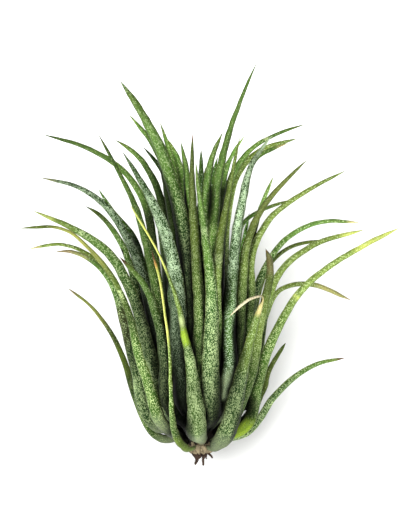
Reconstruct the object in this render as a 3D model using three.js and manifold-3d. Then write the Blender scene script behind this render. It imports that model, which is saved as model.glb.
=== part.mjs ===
// Air plant: a rosette of channelled, tapering leaves on a short woody stem with dry root stubs,
// lying on its side as it was put down.
//
// Millimetres. The surface is z = 0. The plant's axis runs along +Y, from the roots to the leaf
// tips, and rises a little over the surface; +X is to the right of the plant seen from above.
import * as THREE from "three";
import { mergeVertices } from "three/addons/utils/BufferGeometryUtils.js";
import Module from "manifold-3d";

const wasm = await Module();
wasm.setup();

// ---- Driving dimensions --------------------------------------------------------------------

const AXIS_HEIGHT = 15; // the axis over the surface at the foot of the stem
const AXIS_RISE = 0.12; // and its rise for each millimetre up the plant

// The stem's outline: [distance from the axis, height up the plant].
const STEM_PROFILE = [
  [0, -0.6], [1.7, -0.4], [2.4, 0.4], [3.1, 2], [3.7, 4.5],
  [3.9, 9], [3.5, 14], [2.6, 17], [1.4, 18.6], [0, 19],
];
const STEM_SIDES = 24;
const LOWEST_ROOTING = 0.8; // where on the stem the outermost leaf grows,
const HIGHEST_ROOTING = 16.5; // and the innermost
const ROOTING_GAP = 0.3; // a leaf's end stands this far off the stem,
const LEAN = 0.5; // turned from straight outwards towards its next station by this share,
const STEM_CLEARANCE = 0.45; // and its blade at least this far

// Dry root stubs: [start, end, radius at the start, radius at the end], from the stem's foot.
const ROOT_STUBS = [
  [[-0.9, 0.6, 0.2], [-1.1, -3, 0.4], 1.1, 0.35],
  [[0.4, 0.4, 0.3], [0.8, -3.3, 0.9], 0.8, 0.25],
  [[1.2, 0.6, 0], [2.9, -1.5, 0.3], 0.7, 0.3],
  [[-0.3, 0.5, -1], [-0.6, -2.4, -2], 0.8, 0.3],
  [[0.7, 0.5, -1], [1.6, -1.9, -1.9], 0.7, 0.25],
];
const STUB_SIDES = 7;

const NECK_WIDTH = 2.4; // a leaf's breadth where it leaves the stem
const SHEATH_LENGTH = 8; // over which it widens to its full breadth
const TIP_WIDTH = 0.7; // at the last station before the point
const LIFT = 0.4; // how far the backs of all but the lowest leaves turn upwards
const PRESSED = 0.33; // share of its height by which a leaf is flattened on the surface
const LEAST_AHEAD = 0.4; // from any corner of one cross-section to the next one's
const STATIONS = 20; // cross-sections along a leaf
const CROWDING = 1.15; // above 1, the stations lie closer together towards the base

const CLEARANCE = 0.42; // neighbouring leaves are eased apart to this distance,
const EASING_ROUNDS = 240; // a little in each round,
const EASING_REACH = 7; // where their middles lie nearer to each other than this
const UNDER_SHEATH = 2; // how firmly a leaf's end keeps straight below its first station,
const HOLD = 0.15; // and how firmly a leaf keeps its place in the outline meanwhile

const GREEN = 0x7d9d68, BRIGHT_GREEN = 0x719545, YELLOW_GREEN = 0x98aa66;
const SILVER_GREEN = 0x85a16f, DARK_GREEN = 0x536a36, STEM_BROWN = 0x655748;
// The leaves that aren't plain GREEN.
const TINTS = {
  leaf_front_02: YELLOW_GREEN, leaf_front_04: YELLOW_GREEN, leaf_front_12: YELLOW_GREEN,
  leaf_left_03: YELLOW_GREEN, leaf_right_08: YELLOW_GREEN, leaf_right_10: YELLOW_GREEN,
  leaf_front_03: SILVER_GREEN, leaf_front_07: SILVER_GREEN, leaf_front_09: SILVER_GREEN,
  leaf_left_04: SILVER_GREEN, leaf_left_08: SILVER_GREEN,
  leaf_left_09: BRIGHT_GREEN, leaf_heart_10: BRIGHT_GREEN, leaf_right_01: BRIGHT_GREEN,
  leaf_left_01: DARK_GREEN, leaf_left_07: DARK_GREEN, leaf_heart_01: DARK_GREEN,
  leaf_heart_03: DARK_GREEN, leaf_right_02: DARK_GREEN, leaf_right_06: DARK_GREEN,
  leaf_right_13: DARK_GREEN,
};

// A blade's height, from the plane of its margins to its back, and its thickness at the midrib.
const heightOf = (width) => 0.45 + 0.28 * width;
const thicknessOf = (width) => 0.6 + 0.08 * width;

// ---- The leaves ----------------------------------------------------------------------------

// One row for each leaf: its name, the breadth of its blade, how early it tapers (higher is
// earlier), the length of the dry thread at its tip, and the points its middle runs through, from
// the sheath to the tip: [to the right, up the plant, above the plant's axis].
const LEAVES = [
  // the front of the rosette, seen on their backs
  ["leaf_front_01", 6.4, 1.5, 0, [
    [-0.3, 1.8, 8], [-0.6, 7, 14], [-1.4, 17, 18], [-3.6, 28, 20], [-5.8, 38, 21.5], [-10, 49, 23],
    [-17.5, 62, 25],
  ]],
  ["leaf_front_02", 3, 1.1, 4, [
    [-4, 1.4, 6], [-6.6, 5.6, 12.5], [-7.4, 15, 17.5], [-7.6, 25, 19.5], [-8.8, 35, 21],
    [-9.8, 42, 22], [-12, 50.5, 22.5],
  ]],
  ["leaf_front_03", 6.2, 0.5, 10, [
    [4.9, 1.9, 6.5], [7.6, 6.4, 12.8], [10, 17, 16.5], [12.2, 26, 19], [14.4, 34, 20.5],
    [15.5, 38.8, 21.5], [12, 38, 23], [7.3, 34, 24],
  ]],
  ["leaf_front_04", 6, 0.85, 0, [
    [1.5, 4, 8], [2.3, 10.5, 13], [2.4, 20, 17.5], [2.9, 31, 19.5], [3, 39, 21], [1.8, 50, 21.5],
    [0.3, 62, 21.5], [-1, 72.8, 20.5],
  ]],
  ["leaf_front_05", 5, 0.8, 0, [
    [0.8, 7, 8], [1, 14, 12], [0.5, 24, 15.5], [-0.2, 38, 17.5], [-1.2, 52, 18.5],
    [-2, 66, 18.5], [-1.8, 79.8, 17],
  ]],
  ["leaf_front_06", 4, 0.45, 0, [
    [-4.5, 5, 6], [-7, 12, 12], [-8.6, 22, 14.5], [-10.8, 33, 15.3], [-14, 41.5, 15.5],
    [-20, 48.8, 15],
  ]],
  ["leaf_front_07", 6, 0.6, 0, [
    [-2.5, 6, 7], [-4.5, 14, 11.5], [-5.3, 26, 15], [-5.6, 38, 17], [-7.5, 50.5, 18.8],
    [-11, 60.5, 19.5], [-15.3, 68.3, 19], [-19.3, 75, 17.5],
  ]],
  ["leaf_front_08", 4.2, 0.7, 0, [
    [-4, 5, 5], [-7.8, 13, 9], [-9.3, 24, 11.5], [-10.6, 36, 12.5], [-13, 50, 13],
    [-16.3, 62, 13], [-20, 69.5, 12.5], [-25.3, 79.3, 12],
  ]],
  ["leaf_front_09", 4.6, 0.7, 0, [
    [1.2, 6.5, 6], [3.2, 15, 11.5], [4, 28, 16], [4, 40, 18], [4.8, 50.5, 19.2], [6.6, 61, 20.3],
    [8.4, 71, 20.6], [10, 78.8, 20],
  ]],
  ["leaf_front_10", 4.6, 0.5, 0, [
    [2.8, 5, 6], [5.6, 13, 11], [6.8, 24, 14], [7.6, 36, 15.3], [8.8, 50, 16.7], [10.6, 62, 17],
    [13, 71.5, 16], [18, 79, 14],
  ]],
  ["leaf_front_11", 4.4, 0.6, 0, [
    [3, 5.5, 4.5], [7, 13, 8], [9.6, 25, 11], [10.6, 38, 12.5], [11.6, 50, 14], [14.4, 58.5, 15],
    [19, 65, 15], [26.8, 73, 14],
  ]],
  ["leaf_front_12", 4.8, 0.35, 0, [
    [3, 3, 3.5], [8, 9, 8], [12.5, 18, 11.5], [15, 30, 14], [16.8, 39, 15], [17.8, 46.5, 15.5],
    [16.3, 50.8, 17],
  ]],
  // the left side, arching out to the left
  ["leaf_left_01", 4.8, 0.65, 3, [
    [-6, 1.4, 0], [-11, 4.2, -2], [-16.5, 14, -3.5], [-19, 22.5, -4], [-22.3, 30, -4],
    [-27, 36.3, -3.5], [-33.3, 41, -3],
  ]],
  ["leaf_left_02", 5, 0.6, 0, [
    [-6, 1.6, 1.8], [-11.2, 7, 4], [-16.2, 20, 5.8], [-19.2, 31.5, 6], [-21.8, 41, 5.5],
    [-26, 46.8, 5], [-31.5, 49.8, 4.5], [-36.3, 50, 4],
  ]],
  ["leaf_left_03", 5.2, 1.25, 0, [
    [-5.6, 1.6, 5], [-9.8, 7.4, 10.5], [-12.8, 16, 13], [-15.5, 24, 13.5], [-17.6, 33.5, 13.5],
    [-21, 42, 14], [-27, 50, 14], [-34, 55.5, 13.5], [-45.3, 55.8, 12.5],
  ]],
  ["leaf_left_04", 5.2, 0.6, 0, [
    [-4, 4, 4.5], [-8.5, 11.5, 8], [-12, 21, 9], [-15, 32.5, 9.5], [-18.5, 42.5, 9.5],
    [-23.5, 50.5, 9.3], [-31, 55.5, 9], [-41.8, 60.3, 8],
  ]],
  ["leaf_left_05", 4.2, 0.75, 0, [
    [-5, 3, 0], [-11, 11, 0], [-15.3, 23, 0.5], [-18.5, 35, 0.5], [-22, 43.5, 0.5],
    [-28.3, 49.5, 0.5], [-35, 51.8, 0], [-43, 50.6, -1],
  ]],
  ["leaf_left_06", 4.2, 0.48, 0, [
    [-4, 4, 1], [-8.5, 11, 1.5], [-12, 23, 2], [-14.8, 35, 2.5], [-18, 46.8, 3], [-21, 53.5, 3],
    [-25, 58.8, 3], [-29, 61.5, 3],
  ]],
  ["leaf_left_07", 4.4, 0.48, 0, [
    [-3.5, 6, 0], [-8, 15, -1.5], [-11, 28, -2], [-13.5, 42, -2], [-16.8, 53.5, -1.5],
    [-22, 60.3, -1], [-25.5, 65.8, -1],
  ]],
  ["leaf_left_08", 5, 0.75, 0, [
    [-3.5, 6, 3.5], [-8.3, 15, 5.5], [-11.5, 28, 6.8], [-14.3, 42, 7.2], [-17.8, 52, 7.5],
    [-23.3, 60.8, 8], [-30, 65.8, 8], [-40, 68.5, 7],
  ]],
  ["leaf_left_09", 4.6, 0.65, 0, [
    [-3, 8, 1.5], [-7, 19, 2.5], [-9.8, 34, 3.2], [-12, 50, 3.5], [-14.3, 62.3, 3.5],
    [-19.5, 70.3, 3], [-28.8, 76, 2], [-39.3, 79.3, 0],
  ]],
  ["leaf_left_10", 4.4, 0.48, 0, [
    [-2.2, 9, 3], [-4.8, 21, 5], [-6.8, 38, 6], [-8.5, 55, 6], [-11.3, 67, 6], [-15.5, 74, 5.5],
    [-21.3, 78, 4.5],
  ]],
  // the heart of the rosette, nearly upright
  ["leaf_heart_01", 3.7, 0.48, 0, [
    [-1.8, 9, 5], [-3.6, 21, 7.5], [-5.2, 38, 9], [-6.8, 57, 9.5], [-9.3, 69.5, 9],
    [-14.3, 76.3, 8],
  ]],
  ["leaf_heart_02", 5.4, 0.33, 0, [
    [-0.8, 8, 6.5], [-1.6, 18, 10], [-2.5, 34, 12.8], [-3.6, 50, 14.8], [-6.3, 64.3, 16.3],
    [-10.5, 76, 17], [-14.5, 83.8, 16.5], [-20, 92.5, 15],
  ]],
  ["leaf_heart_03", 4.6, 0.45, 0, [
    [-1.4, 10, 3.5], [-3, 23, 7], [-4.8, 42, 9.5], [-7.3, 61, 11.5], [-10.5, 74.3, 12],
    [-17.8, 84.3, 11],
  ]],
  ["leaf_heart_04", 3.6, 0.45, 0, [
    [-0.9, 11, 4], [-2, 25, 7.5], [-3.2, 42, 10.5], [-4.8, 60, 13], [-7.3, 73.5, 13.5],
    [-10, 82.3, 13],
  ]],
  ["leaf_heart_05", 5, 0.4, 0, [
    [-0.7, 12, 2], [-1.6, 26, 5], [-2.4, 44, 7.5], [-3.8, 62, 9], [-6, 73, 9.5], [-9, 79, 9],
  ]],
  ["leaf_heart_06", 4, 0.45, 0, [
    [-0.4, 11, 5], [-1, 24, 9], [-1.8, 42, 11.5], [-2.8, 62, 13], [-3.6, 71, 13.3],
    [-4.8, 77.5, 13],
  ]],
  ["leaf_heart_07", 3.6, 0.45, 0, [
    [0.1, 13, 2.5], [0.2, 28, 5.5], [0.2, 48, 8.5], [0.3, 64, 10], [0.3, 75.8, 10.5],
  ]],
  ["leaf_heart_08", 4.4, 0.4, 0, [
    [2.6, 18, 2.4], [1.8, 25, 2.4], [0.9, 36, 2.8], [0.9, 52, 4], [1.5, 71.3, 5.5],
  ]],
  ["leaf_heart_09", 4.6, 0.5, 0, [
    [0.7, 12, 4.5], [1.3, 26, 9], [1.6, 44, 12.5], [1.6, 60, 14.3], [2.6, 71.5, 15],
    [5.8, 80, 14.5],
  ]],
  ["leaf_heart_10", 4.4, 0.65, 0, [
    [1.2, 9, 6.5], [2.4, 22, 11], [3.1, 38, 14.5], [3.4, 54, 17], [4.6, 68, 18],
    [7.5, 79.8, 17.3], [10.8, 89, 16], [14.3, 97.3, 14],
  ]],
  ["leaf_heart_11", 3.4, 0.45, 0, [
    [0.8, 15, 3], [1.6, 32, 6], [2.3, 52, 8.5], [3.2, 67, 9.5], [4.5, 74, 9.5],
  ]],
  ["leaf_heart_12", 4.4, 0.5, 0, [
    [1.1, 11, 3.5], [2.4, 26, 7.5], [3.6, 44, 10], [5, 62, 12], [7.5, 73, 12.5], [11.3, 79, 12],
  ]],
  // the right side, arching out to the right
  ["leaf_right_01", 4.4, 0.7, 0, [
    [1.5, 9, 3], [4.4, 21, 6.2], [4.8, 40, 8], [6, 58, 9.3], [8.5, 69.5, 9.5], [13.3, 75.8, 9],
    [19, 79.2, 8], [26.5, 81.8, 7],
  ]],
  ["leaf_right_02", 4.4, 0.48, 0, [
    [1.6, 8, 1], [3.6, 20, 2], [5.3, 38, 3], [6.6, 56, 4], [9.5, 69, 4.3], [14.5, 74.7, 4],
    [24.5, 78.3, 3],
  ]],
  ["leaf_right_03", 4, 0.48, 0, [
    [2, 7.5, 3.5], [4.8, 18, 6.5], [7, 34, 8], [9, 50, 9], [11, 63, 9.5], [14, 73, 10],
    [22, 77, 9.5],
  ]],
  ["leaf_right_04", 3.3, 0.48, 0, [
    [2.2, 7, 3.5], [6.5, 18, 6.5], [9.6, 33, 8.5], [12, 48, 10], [15, 60, 11], [18.3, 68.8, 11],
  ]],
  ["leaf_right_05", 4.6, 0.6, 0, [
    [3.2, 5, 3], [8.5, 14, 6], [11.6, 26, 8.5], [12.9, 38, 10], [13.3, 49.5, 11],
    [17.5, 58, 11.5], [25, 64, 11], [36.5, 70.3, 9.5],
  ]],
  ["leaf_right_06", 3.5, 0.48, 0, [
    [2, 7, 0], [5, 17, -1], [7.2, 32, -1], [8.6, 48, -0.5], [11, 57.3, 0], [16, 60.6, 0],
    [22.8, 63, 0],
  ]],
  ["leaf_right_07", 4, 0.48, 0, [
    [3.2, 4.5, 0.5], [8.3, 13, 1.8], [12, 28, 2.5], [14.2, 40, 3], [17, 47, 3], [22, 53.5, 2.5],
    [30, 57.3, 2], [40, 57.3, 1],
  ]],
  ["leaf_right_08", 4.6, 0.48, 0, [
    [4, 3.5, 2.5], [10.5, 12, 5], [14.6, 25, 6.5], [17, 37, 7], [20.6, 45.5, 7], [28, 51.5, 6.5],
    [41, 55.5, 5],
  ]],
  ["leaf_right_09", 4, 0.48, 0, [
    [3, 4, -1.5], [8, 12, -3], [12.2, 26, -3.5], [14.6, 39, -3.5], [17.6, 47, -3.3],
    [23.3, 51.5, -3], [33, 53, -3],
  ]],
  ["leaf_right_10", 4.8, 0.48, 0, [
    [5, 1.4, 2.5], [10.6, 5.4, 5.5], [14.4, 16, 7.5], [17, 24.6, 8.5], [20.8, 32.8, 9],
    [26, 40.6, 9], [33.8, 47, 8.5], [49.8, 56, 7],
  ]],
  ["leaf_right_11", 3.7, 0.48, 0, [
    [3.5, 3, -1], [9.5, 10, -2], [14, 22, -2.5], [16.3, 33, -2.5], [20, 40.5, -2.5],
    [27, 42, -3], [38, 37.8, -4],
  ]],
  ["leaf_right_12", 5, 0.48, 2, [
    [6.5, 1.6, -0.5], [12, 4.8, -2.2], [18, 13.2, -3], [24, 19, -3], [30, 22.3, -3], [36.5, 23.5, -3],
  ]],
  ["leaf_right_13", 4, 0.48, 0, [
    [4.5, 1.8, 0.3], [11, 7, 1], [15, 14.5, 1.5], [18, 21.5, 2], [21.5, 27.3, 2.3],
  ]],
  // the underside, pressed against the surface
  ["leaf_under_01", 4.4, 0.6, 0, [
    [-5, 2, -3], [-12, 9, -8], [-15, 20, -10], [-16, 33, -12], [-17.5, 45, -15],
    [-19.5, 53, -19],
  ]],
  ["leaf_under_02", 4.4, 0.6, 0, [
    [-4, 3, -5], [-9, 9, -11], [-11.5, 20, -13.5], [-12.5, 34, -15], [-13.5, 48, -18.5],
    [-15.5, 60, -22.8],
  ]],
  ["leaf_under_03", 4.2, 0.6, 0, [
    [-3.5, 2, -5.5], [-7.2, 7, -13.6], [-8.8, 16, -16.8], [-10, 33, -17.3], [-11, 52, -19.6],
  ]],
  ["leaf_under_04", 4.4, 0.6, 0, [
    [-1.8, 2, -7], [-3.2, 7, -14.4], [-4.2, 15, -16.9], [-5, 31, -17.4], [-6, 48, -18.8],
    [-8, 64, -21],
  ]],
  ["leaf_under_05", 4.4, 0.6, 0, [
    [0.8, 2.5, -6.5], [1.4, 7, -14.3], [1.8, 15, -16.9], [2.5, 31, -17.3], [3, 48, -18.8],
    [3.5, 62, -20.5],
  ]],
  ["leaf_under_06", 4.4, 0.6, 0, [
    [3, 2, -5], [6.3, 7, -13.4], [8, 15.5, -16.8], [9, 32, -17.2], [10.3, 47, -19],
    [12.5, 60, -22.8],
  ]],
  ["leaf_under_07", 4.2, 0.6, 0, [
    [4, 2.5, -4.5], [9, 9, -10.5], [12, 20, -13], [13.2, 32, -14.5], [13.5, 42, -17],
    [13.5, 48, -19.5],
  ]],
  ["leaf_under_08", 4.2, 0.6, 0, [
    [5, 2, -2.5], [12, 9, -6.5], [15, 20, -8], [16, 30, -9.5], [17.5, 38, -12], [19.5, 44, -15],
  ]],
  ["leaf_under_09", 3.8, 0.6, 0, [
    [-2.5, 7, -3.5], [-6, 17, -8], [-8, 32, -10], [-9.5, 50, -11.5], [-11.5, 64, -12.5],
  ]],
  ["leaf_under_10", 4, 0.6, 0, [
    [-0.8, 7, -4.5], [-1.8, 17, -10], [-2.5, 32, -12.5], [-3, 52, -14], [-4, 70, -15],
  ]],
  ["leaf_under_11", 3.8, 0.6, 0, [
    [1.8, 7, -3.5], [4.5, 17, -8], [6, 33, -10], [6.8, 50, -11], [7.5, 63, -12],
  ]],
  ["leaf_under_12", 3.4, 0.6, 0, [
    [0.3, 13, -2.5], [0.6, 28, -5], [0.5, 48, -6.5], [0.8, 68, -8],
  ]],
];

// ---- Where things are ----------------------------------------------------------------------

const UP_THE_PLANT = new THREE.Vector3(0, 1, 0);
const axisHeightAt = (y) => AXIS_HEIGHT + AXIS_RISE * y;
const placed = ([x, y, above]) => new THREE.Vector3(x, y, axisHeightAt(y) + above);

// The direction straight out from the axis at a point.
function outwardAt(point) {
  return new THREE.Vector3(point.x, 0, point.z - axisHeightAt(point.y)).normalize();
}

// The stem's radius at a height, read off its profile.
function stemRadiusAt(y) {
  for (let i = 1; i < STEM_PROFILE.length; i++) {
    const [r0, y0] = STEM_PROFILE[i - 1];
    const [r1, y1] = STEM_PROFILE[i];
    if (y <= y1) return y < y0 ? r0 : r0 + ((r1 - r0) * (y - y0)) / (y1 - y0);
  }
  return 0;
}

// Moves a point out from the axis until there is room for a leaf of some height beside the stem.
function clearStem(point, height) {
  const room = Math.max(stemRadiusAt(point.y - 1), stemRadiusAt(point.y + 1)) + height / 2 + STEM_CLEARANCE;
  const reach = Math.hypot(point.x, point.z - axisHeightAt(point.y));
  if (reach < room && stemRadiusAt(point.y - 1) > 0) point.addScaledVector(outwardAt(point), room - reach);
}

// The point on the stem where a leaf's end stands, at a height and in a direction.
function rootingPoint(y, direction) {
  const half = heightOf(NECK_WIDTH) / 2;
  const off = Math.max(stemRadiusAt(y - half), stemRadiusAt(y + half)) + ROOTING_GAP;
  return placed([0, y, 0]).addScaledVector(direction, off);
}

// ---- One leaf ------------------------------------------------------------------------------

// How far out the leaf passes at the height of the swollen base: outer leaves grow lower down.
function girth(row) {
  const [first, second] = row[4];
  return Math.hypot(second[0], second[2]) - 0.7 * (second[1] - 10) + 0.1 * first[1];
}

// A leaf as stations along its middle, each with its place and its blade's breadth there.
function layOut([name, breadth, taper, thread, points], rootingHeight) {
  const path = points.filter(([, y]) => y > rootingHeight).map(placed);
  for (const point of path) clearStem(point, heightOf(breadth));
  const root = rootingPoint(rootingHeight, outwardAt(path[0]));
  const curve = new THREE.CatmullRomCurve3([root, ...path], false, "centripetal");
  const length = curve.getLength();
  const stations = [];
  for (let i = 0; i <= STATIONS; i++) {
    const along = (i / STATIONS) ** CROWDING;
    const left = Math.max(0, 1 - (along * length) / (length - thread));
    const grown = THREE.MathUtils.smoothstep(along * length, 0, SHEATH_LENGTH);
    const blade = Math.max(TIP_WIDTH, breadth * left ** taper);
    const at = curve.getPointAt(along);
    const width = NECK_WIDTH + (blade - NECK_WIDTH) * grown;
    stations.push({ at, home: at.clone(), width });
  }
  const facing = outwardAt(placed(points[1])).addScaledVector(UP_THE_PLANT, -0.8);
  const isLow = points[0][2] <= -4;
  if (!isLow) facing.z += LIFT;
  return { name, stations, facing };
}

// Each station's directions: along the leaf, across the blade, and out of its back.
function orient(leaf) {
  const last = leaf.stations.length - 1;
  const ways = leaf.stations.map((s, i) => {
    const before = leaf.stations[Math.max(0, i - 1)].at;
    const after = leaf.stations[Math.min(last, i + 1)].at;
    const way = after.clone().sub(before).normalize();
    return i === 0 ? way.multiplyScalar(LEAN).add(outwardAt(s.at)).normalize() : way;
  });
  leaf.stations.forEach((s, i) => {
    s.along = ways[i].clone();
    if (i > 0) s.along.multiplyScalar(2).add(ways[i - 1]).add(ways[Math.min(last, i + 1)]).normalize();
    s.across = s.along.clone().cross(leaf.facing).normalize();
  });
  const [end, next] = leaf.stations;
  end.across = next.across.clone().projectOnPlane(end.along).normalize();
  for (const s of leaf.stations) {
    s.out = s.across.clone().cross(s.along);
    s.height = heightOf(s.width);
  }
}

// ---- Easing the leaves apart ---------------------------------------------------------------

// How far a blade reaches from its middle in a direction, as an ellipse.
function reachOf(station, direction) {
  const across = (station.width / 2) * direction.dot(station.across);
  const out = (station.height / 2) * direction.dot(station.out);
  return Math.hypot(across, out);
}

// Pushes station s and the stretch of another leaf between p and q apart where they press.
function press(s, p, q) {
  const stretch = q.at.clone().sub(p.at);
  const share = THREE.MathUtils.clamp(s.at.clone().sub(p.at).dot(stretch) / stretch.lengthSq(), 0, 1);
  const apart = s.at.clone().sub(p.at).addScaledVector(stretch, -share);
  const distance = apart.length();
  if (distance > EASING_REACH) return;
  const direction = distance > 1e-6 ? apart.divideScalar(distance) : s.out.clone();
  const nearer = share < 0.5 ? p : q;
  const short = reachOf(s, direction) + reachOf(nearer, direction) + CLEARANCE - distance;
  if (short <= 0) return;
  for (const [station, part] of [[s, 0.5], [p, -0.5 * (1 - share)], [q, -0.5 * share]]) {
    station.push.addScaledVector(direction, part * short);
    station.pushes += Math.abs(part);
  }
}

// Eases all the leaves apart until none touches another.
function easeApart(leaves) {
  for (let round = 0; round < EASING_ROUNDS; round++) {
    for (const leaf of leaves) {
      orient(leaf);
      leaf.box = new THREE.Box3().setFromPoints(leaf.stations.map((s) => s.at));
      leaf.box.expandByScalar(EASING_REACH / 2);
      for (const s of leaf.stations) {
        s.push = new THREE.Vector3();
        s.pushes = 0;
      }
    }
    for (const a of leaves)
      for (const b of leaves) {
        if (a === b || !a.box.intersectsBox(b.box)) continue;
        for (const s of a.stations)
          for (let i = 1; i < b.stations.length; i++) press(s, b.stations[i - 1], b.stations[i]);
      }
    const hold = HOLD * Math.max(0, 1 - (1.4 * round) / EASING_ROUNDS);
    for (const leaf of leaves) settle(leaf, hold);
  }
  leaves.forEach(orient);
}

// Moves a leaf by its pushes, evened out along it, and keeps its end on the stem below its sheath.
function settle(leaf, hold) {
  const own = leaf.stations.map((s) => s.push.divideScalar(Math.max(0.5, s.pushes)));
  leaf.stations.forEach((s, i) => {
    const move = own[i].clone().multiplyScalar(0.5);
    for (const near of [own[i - 1] ?? own[i], own[i + 1] ?? own[i]]) move.addScaledVector(near, 0.25);
    s.at.add(move.addScaledVector(s.along, -move.dot(s.along)));
    const back = s.home.clone().sub(s.at).multiplyScalar(hold);
    if (i > 0) s.at.add(back.setZ(0));
    const floor = s.height * (0.5 - PRESSED) * Math.abs(s.out.z) + s.width * 0.3 * Math.abs(s.across.z);
    s.at.z = Math.max(s.at.z, floor);
    if (i > 0) clearStem(s.at, s.height);
  });
  const end = leaf.stations[0];
  const height = THREE.MathUtils.clamp(end.at.y, LOWEST_ROOTING, HIGHEST_ROOTING);
  const direction = outwardAt(end.at).addScaledVector(outwardAt(leaf.stations[1].at), UNDER_SHEATH);
  end.at.copy(rootingPoint(height, direction.normalize()));
}

// ---- Solids --------------------------------------------------------------------------------

// A blade's outline across the leaf: [across, out, lowest height over the surface], round from one
// margin over the back to the other margin and into the channel.
function section(width) {
  const h = heightOf(width);
  const t = thicknessOf(width);
  return [
    [-0.5 * width, -h / 2, 0],
    [-0.3 * width, 0.22 * h, 0],
    [0, h / 2, 0],
    [0.3 * width, 0.22 * h, 0],
    [0.5 * width, -h / 2, 0],
    [0, h / 2 - t, t],
  ];
}

function corner(station, [across, out]) {
  return station.at.clone().addScaledVector(station.across, across).addScaledVector(station.out, out);
}

// How far the corners of one section lie ahead of those of the section before, at the least.
function leastAhead(before, after) {
  const ahead = before.along.clone().add(after.along).normalize();
  const to = section(after.width).map((c) => corner(after, c));
  return Math.min(...section(before.width).map((c, k) => to[k].sub(corner(before, c)).dot(ahead)));
}

// Narrows a leaf where it bends too tightly for its breadth, so that it doesn't fold over itself.
function narrowInBends({ stations }) {
  for (let i = 1; i < stations.length; i++) {
    const pair = [stations[i - 1], stations[i]];
    while (leastAhead(...pair) < LEAST_AHEAD && pair[1].width > TIP_WIDTH)
      for (const s of pair) s.width = Math.max(TIP_WIDTH, 0.97 * s.width);
  }
}

// A leaf's sections joined from the stem to the point.
function leafGeometry(leaf) {
  const points = [];
  const faces = [];
  const rings = leaf.stations.slice(0, -1);
  for (const s of rings)
    for (const place of section(s.width)) {
      const p = corner(s, place);
      points.push(p.x, p.y, Math.max(place[2], p.z));
    }
  const sides = points.length / 3 / rings.length;
  for (let r = 1; r < rings.length; r++)
    for (let k = 0; k < sides; k++) {
      const a = (r - 1) * sides + k;
      const b = (r - 1) * sides + ((k + 1) % sides);
      faces.push(a, b, b + sides, a, b + sides, a + sides);
    }
  const channel = sides - 1;
  const apex = points.length / 3;
  const lastRing = apex - sides;
  for (let k = 0; k < sides - 2; k++) faces.push(channel, k + 1, k);
  const end = leaf.stations.at(-1).at;
  points.push(end.x, end.y, Math.max(0, end.z));
  for (let k = 0; k < sides; k++) faces.push(lastRing + k, lastRing + ((k + 1) % sides), apex);
  const geometry = new THREE.BufferGeometry();
  geometry.setAttribute("position", new THREE.Float32BufferAttribute(points, 3));
  geometry.setIndex(faces);
  return geometry;
}

// A closed surface as a solid that can be joined to others, and back.
function solidOf(geometry) {
  const bare = new THREE.BufferGeometry();
  bare.setAttribute("position", geometry.toNonIndexed().getAttribute("position"));
  const merged = mergeVertices(bare, 1e-4);
  const vertProperties = merged.getAttribute("position").array;
  const triVerts = new Uint32Array(merged.index.array);
  return new wasm.Manifold(new wasm.Mesh({ numProp: 3, vertProperties, triVerts }));
}

function geometryOf(solid) {
  const { vertProperties, triVerts } = solid.getMesh();
  const geometry = new THREE.BufferGeometry();
  geometry.setAttribute("position", new THREE.BufferAttribute(new Float32Array(vertProperties), 3));
  geometry.setIndex(new THREE.BufferAttribute(new Uint32Array(triVerts), 1));
  return geometry;
}

function stubGeometry([start, end, thick, thin]) {
  const from = placed(start);
  const way = placed(end).sub(from);
  const geometry = new THREE.CylinderGeometry(thin, thick, way.length(), STUB_SIDES);
  geometry.translate(0, way.length() / 2, 0);
  geometry.applyQuaternion(new THREE.Quaternion().setFromUnitVectors(UP_THE_PLANT, way.normalize()));
  return geometry.translate(...from.toArray());
}

function stemWithRoots() {
  const stem = new THREE.LatheGeometry(STEM_PROFILE.map(([r, y]) => new THREE.Vector2(r, y)), STEM_SIDES);
  const points = stem.getAttribute("position");
  for (let i = 0; i < points.count; i++) points.setZ(i, points.getZ(i) + axisHeightAt(points.getY(i)));
  let solid = solidOf(stem);
  for (const stub of ROOT_STUBS) solid = solid.add(solidOf(stubGeometry(stub)));
  return geometryOf(solid);
}

// ---- The plant -----------------------------------------------------------------------------

const plant = new THREE.Group();

function addNode(name, geometry, color, roughness) {
  const material = new THREE.MeshStandardMaterial({ color, roughness, metalness: 0 });
  const mesh = new THREE.Mesh(geometry, material);
  mesh.name = name;
  plant.add(mesh);
}

const outerFirst = [...LEAVES].sort((a, b) => girth(b) - girth(a));
const leaves = outerFirst.map((row, i) => {
  const share = i / (LEAVES.length - 1);
  return layOut(row, THREE.MathUtils.lerp(LOWEST_ROOTING, HIGHEST_ROOTING, share));
});
easeApart(leaves);
leaves.forEach(narrowInBends);
for (const leaf of leaves) addNode(leaf.name, leafGeometry(leaf), TINTS[leaf.name] ?? GREEN, 0.75);
addNode("stem_with_roots", stemWithRoots(), STEM_BROWN, 0.9);

// The origin is on the surface, under the middle of the plant's outline.
const extent = new THREE.Box3().setFromObject(plant);
const middle = extent.getCenter(new THREE.Vector3());
plant.position.set(-middle.x, -middle.y, -extent.min.z);

export default plant;
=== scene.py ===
"""An air plant lying on a pale surface: frosted leaves on a woody stem with dry roots.

Everything is in metres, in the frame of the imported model. The plant lies along +Y, roots first,
and the camera looks down on it.
"""

import itertools
import math
from typing import NamedTuple

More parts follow.
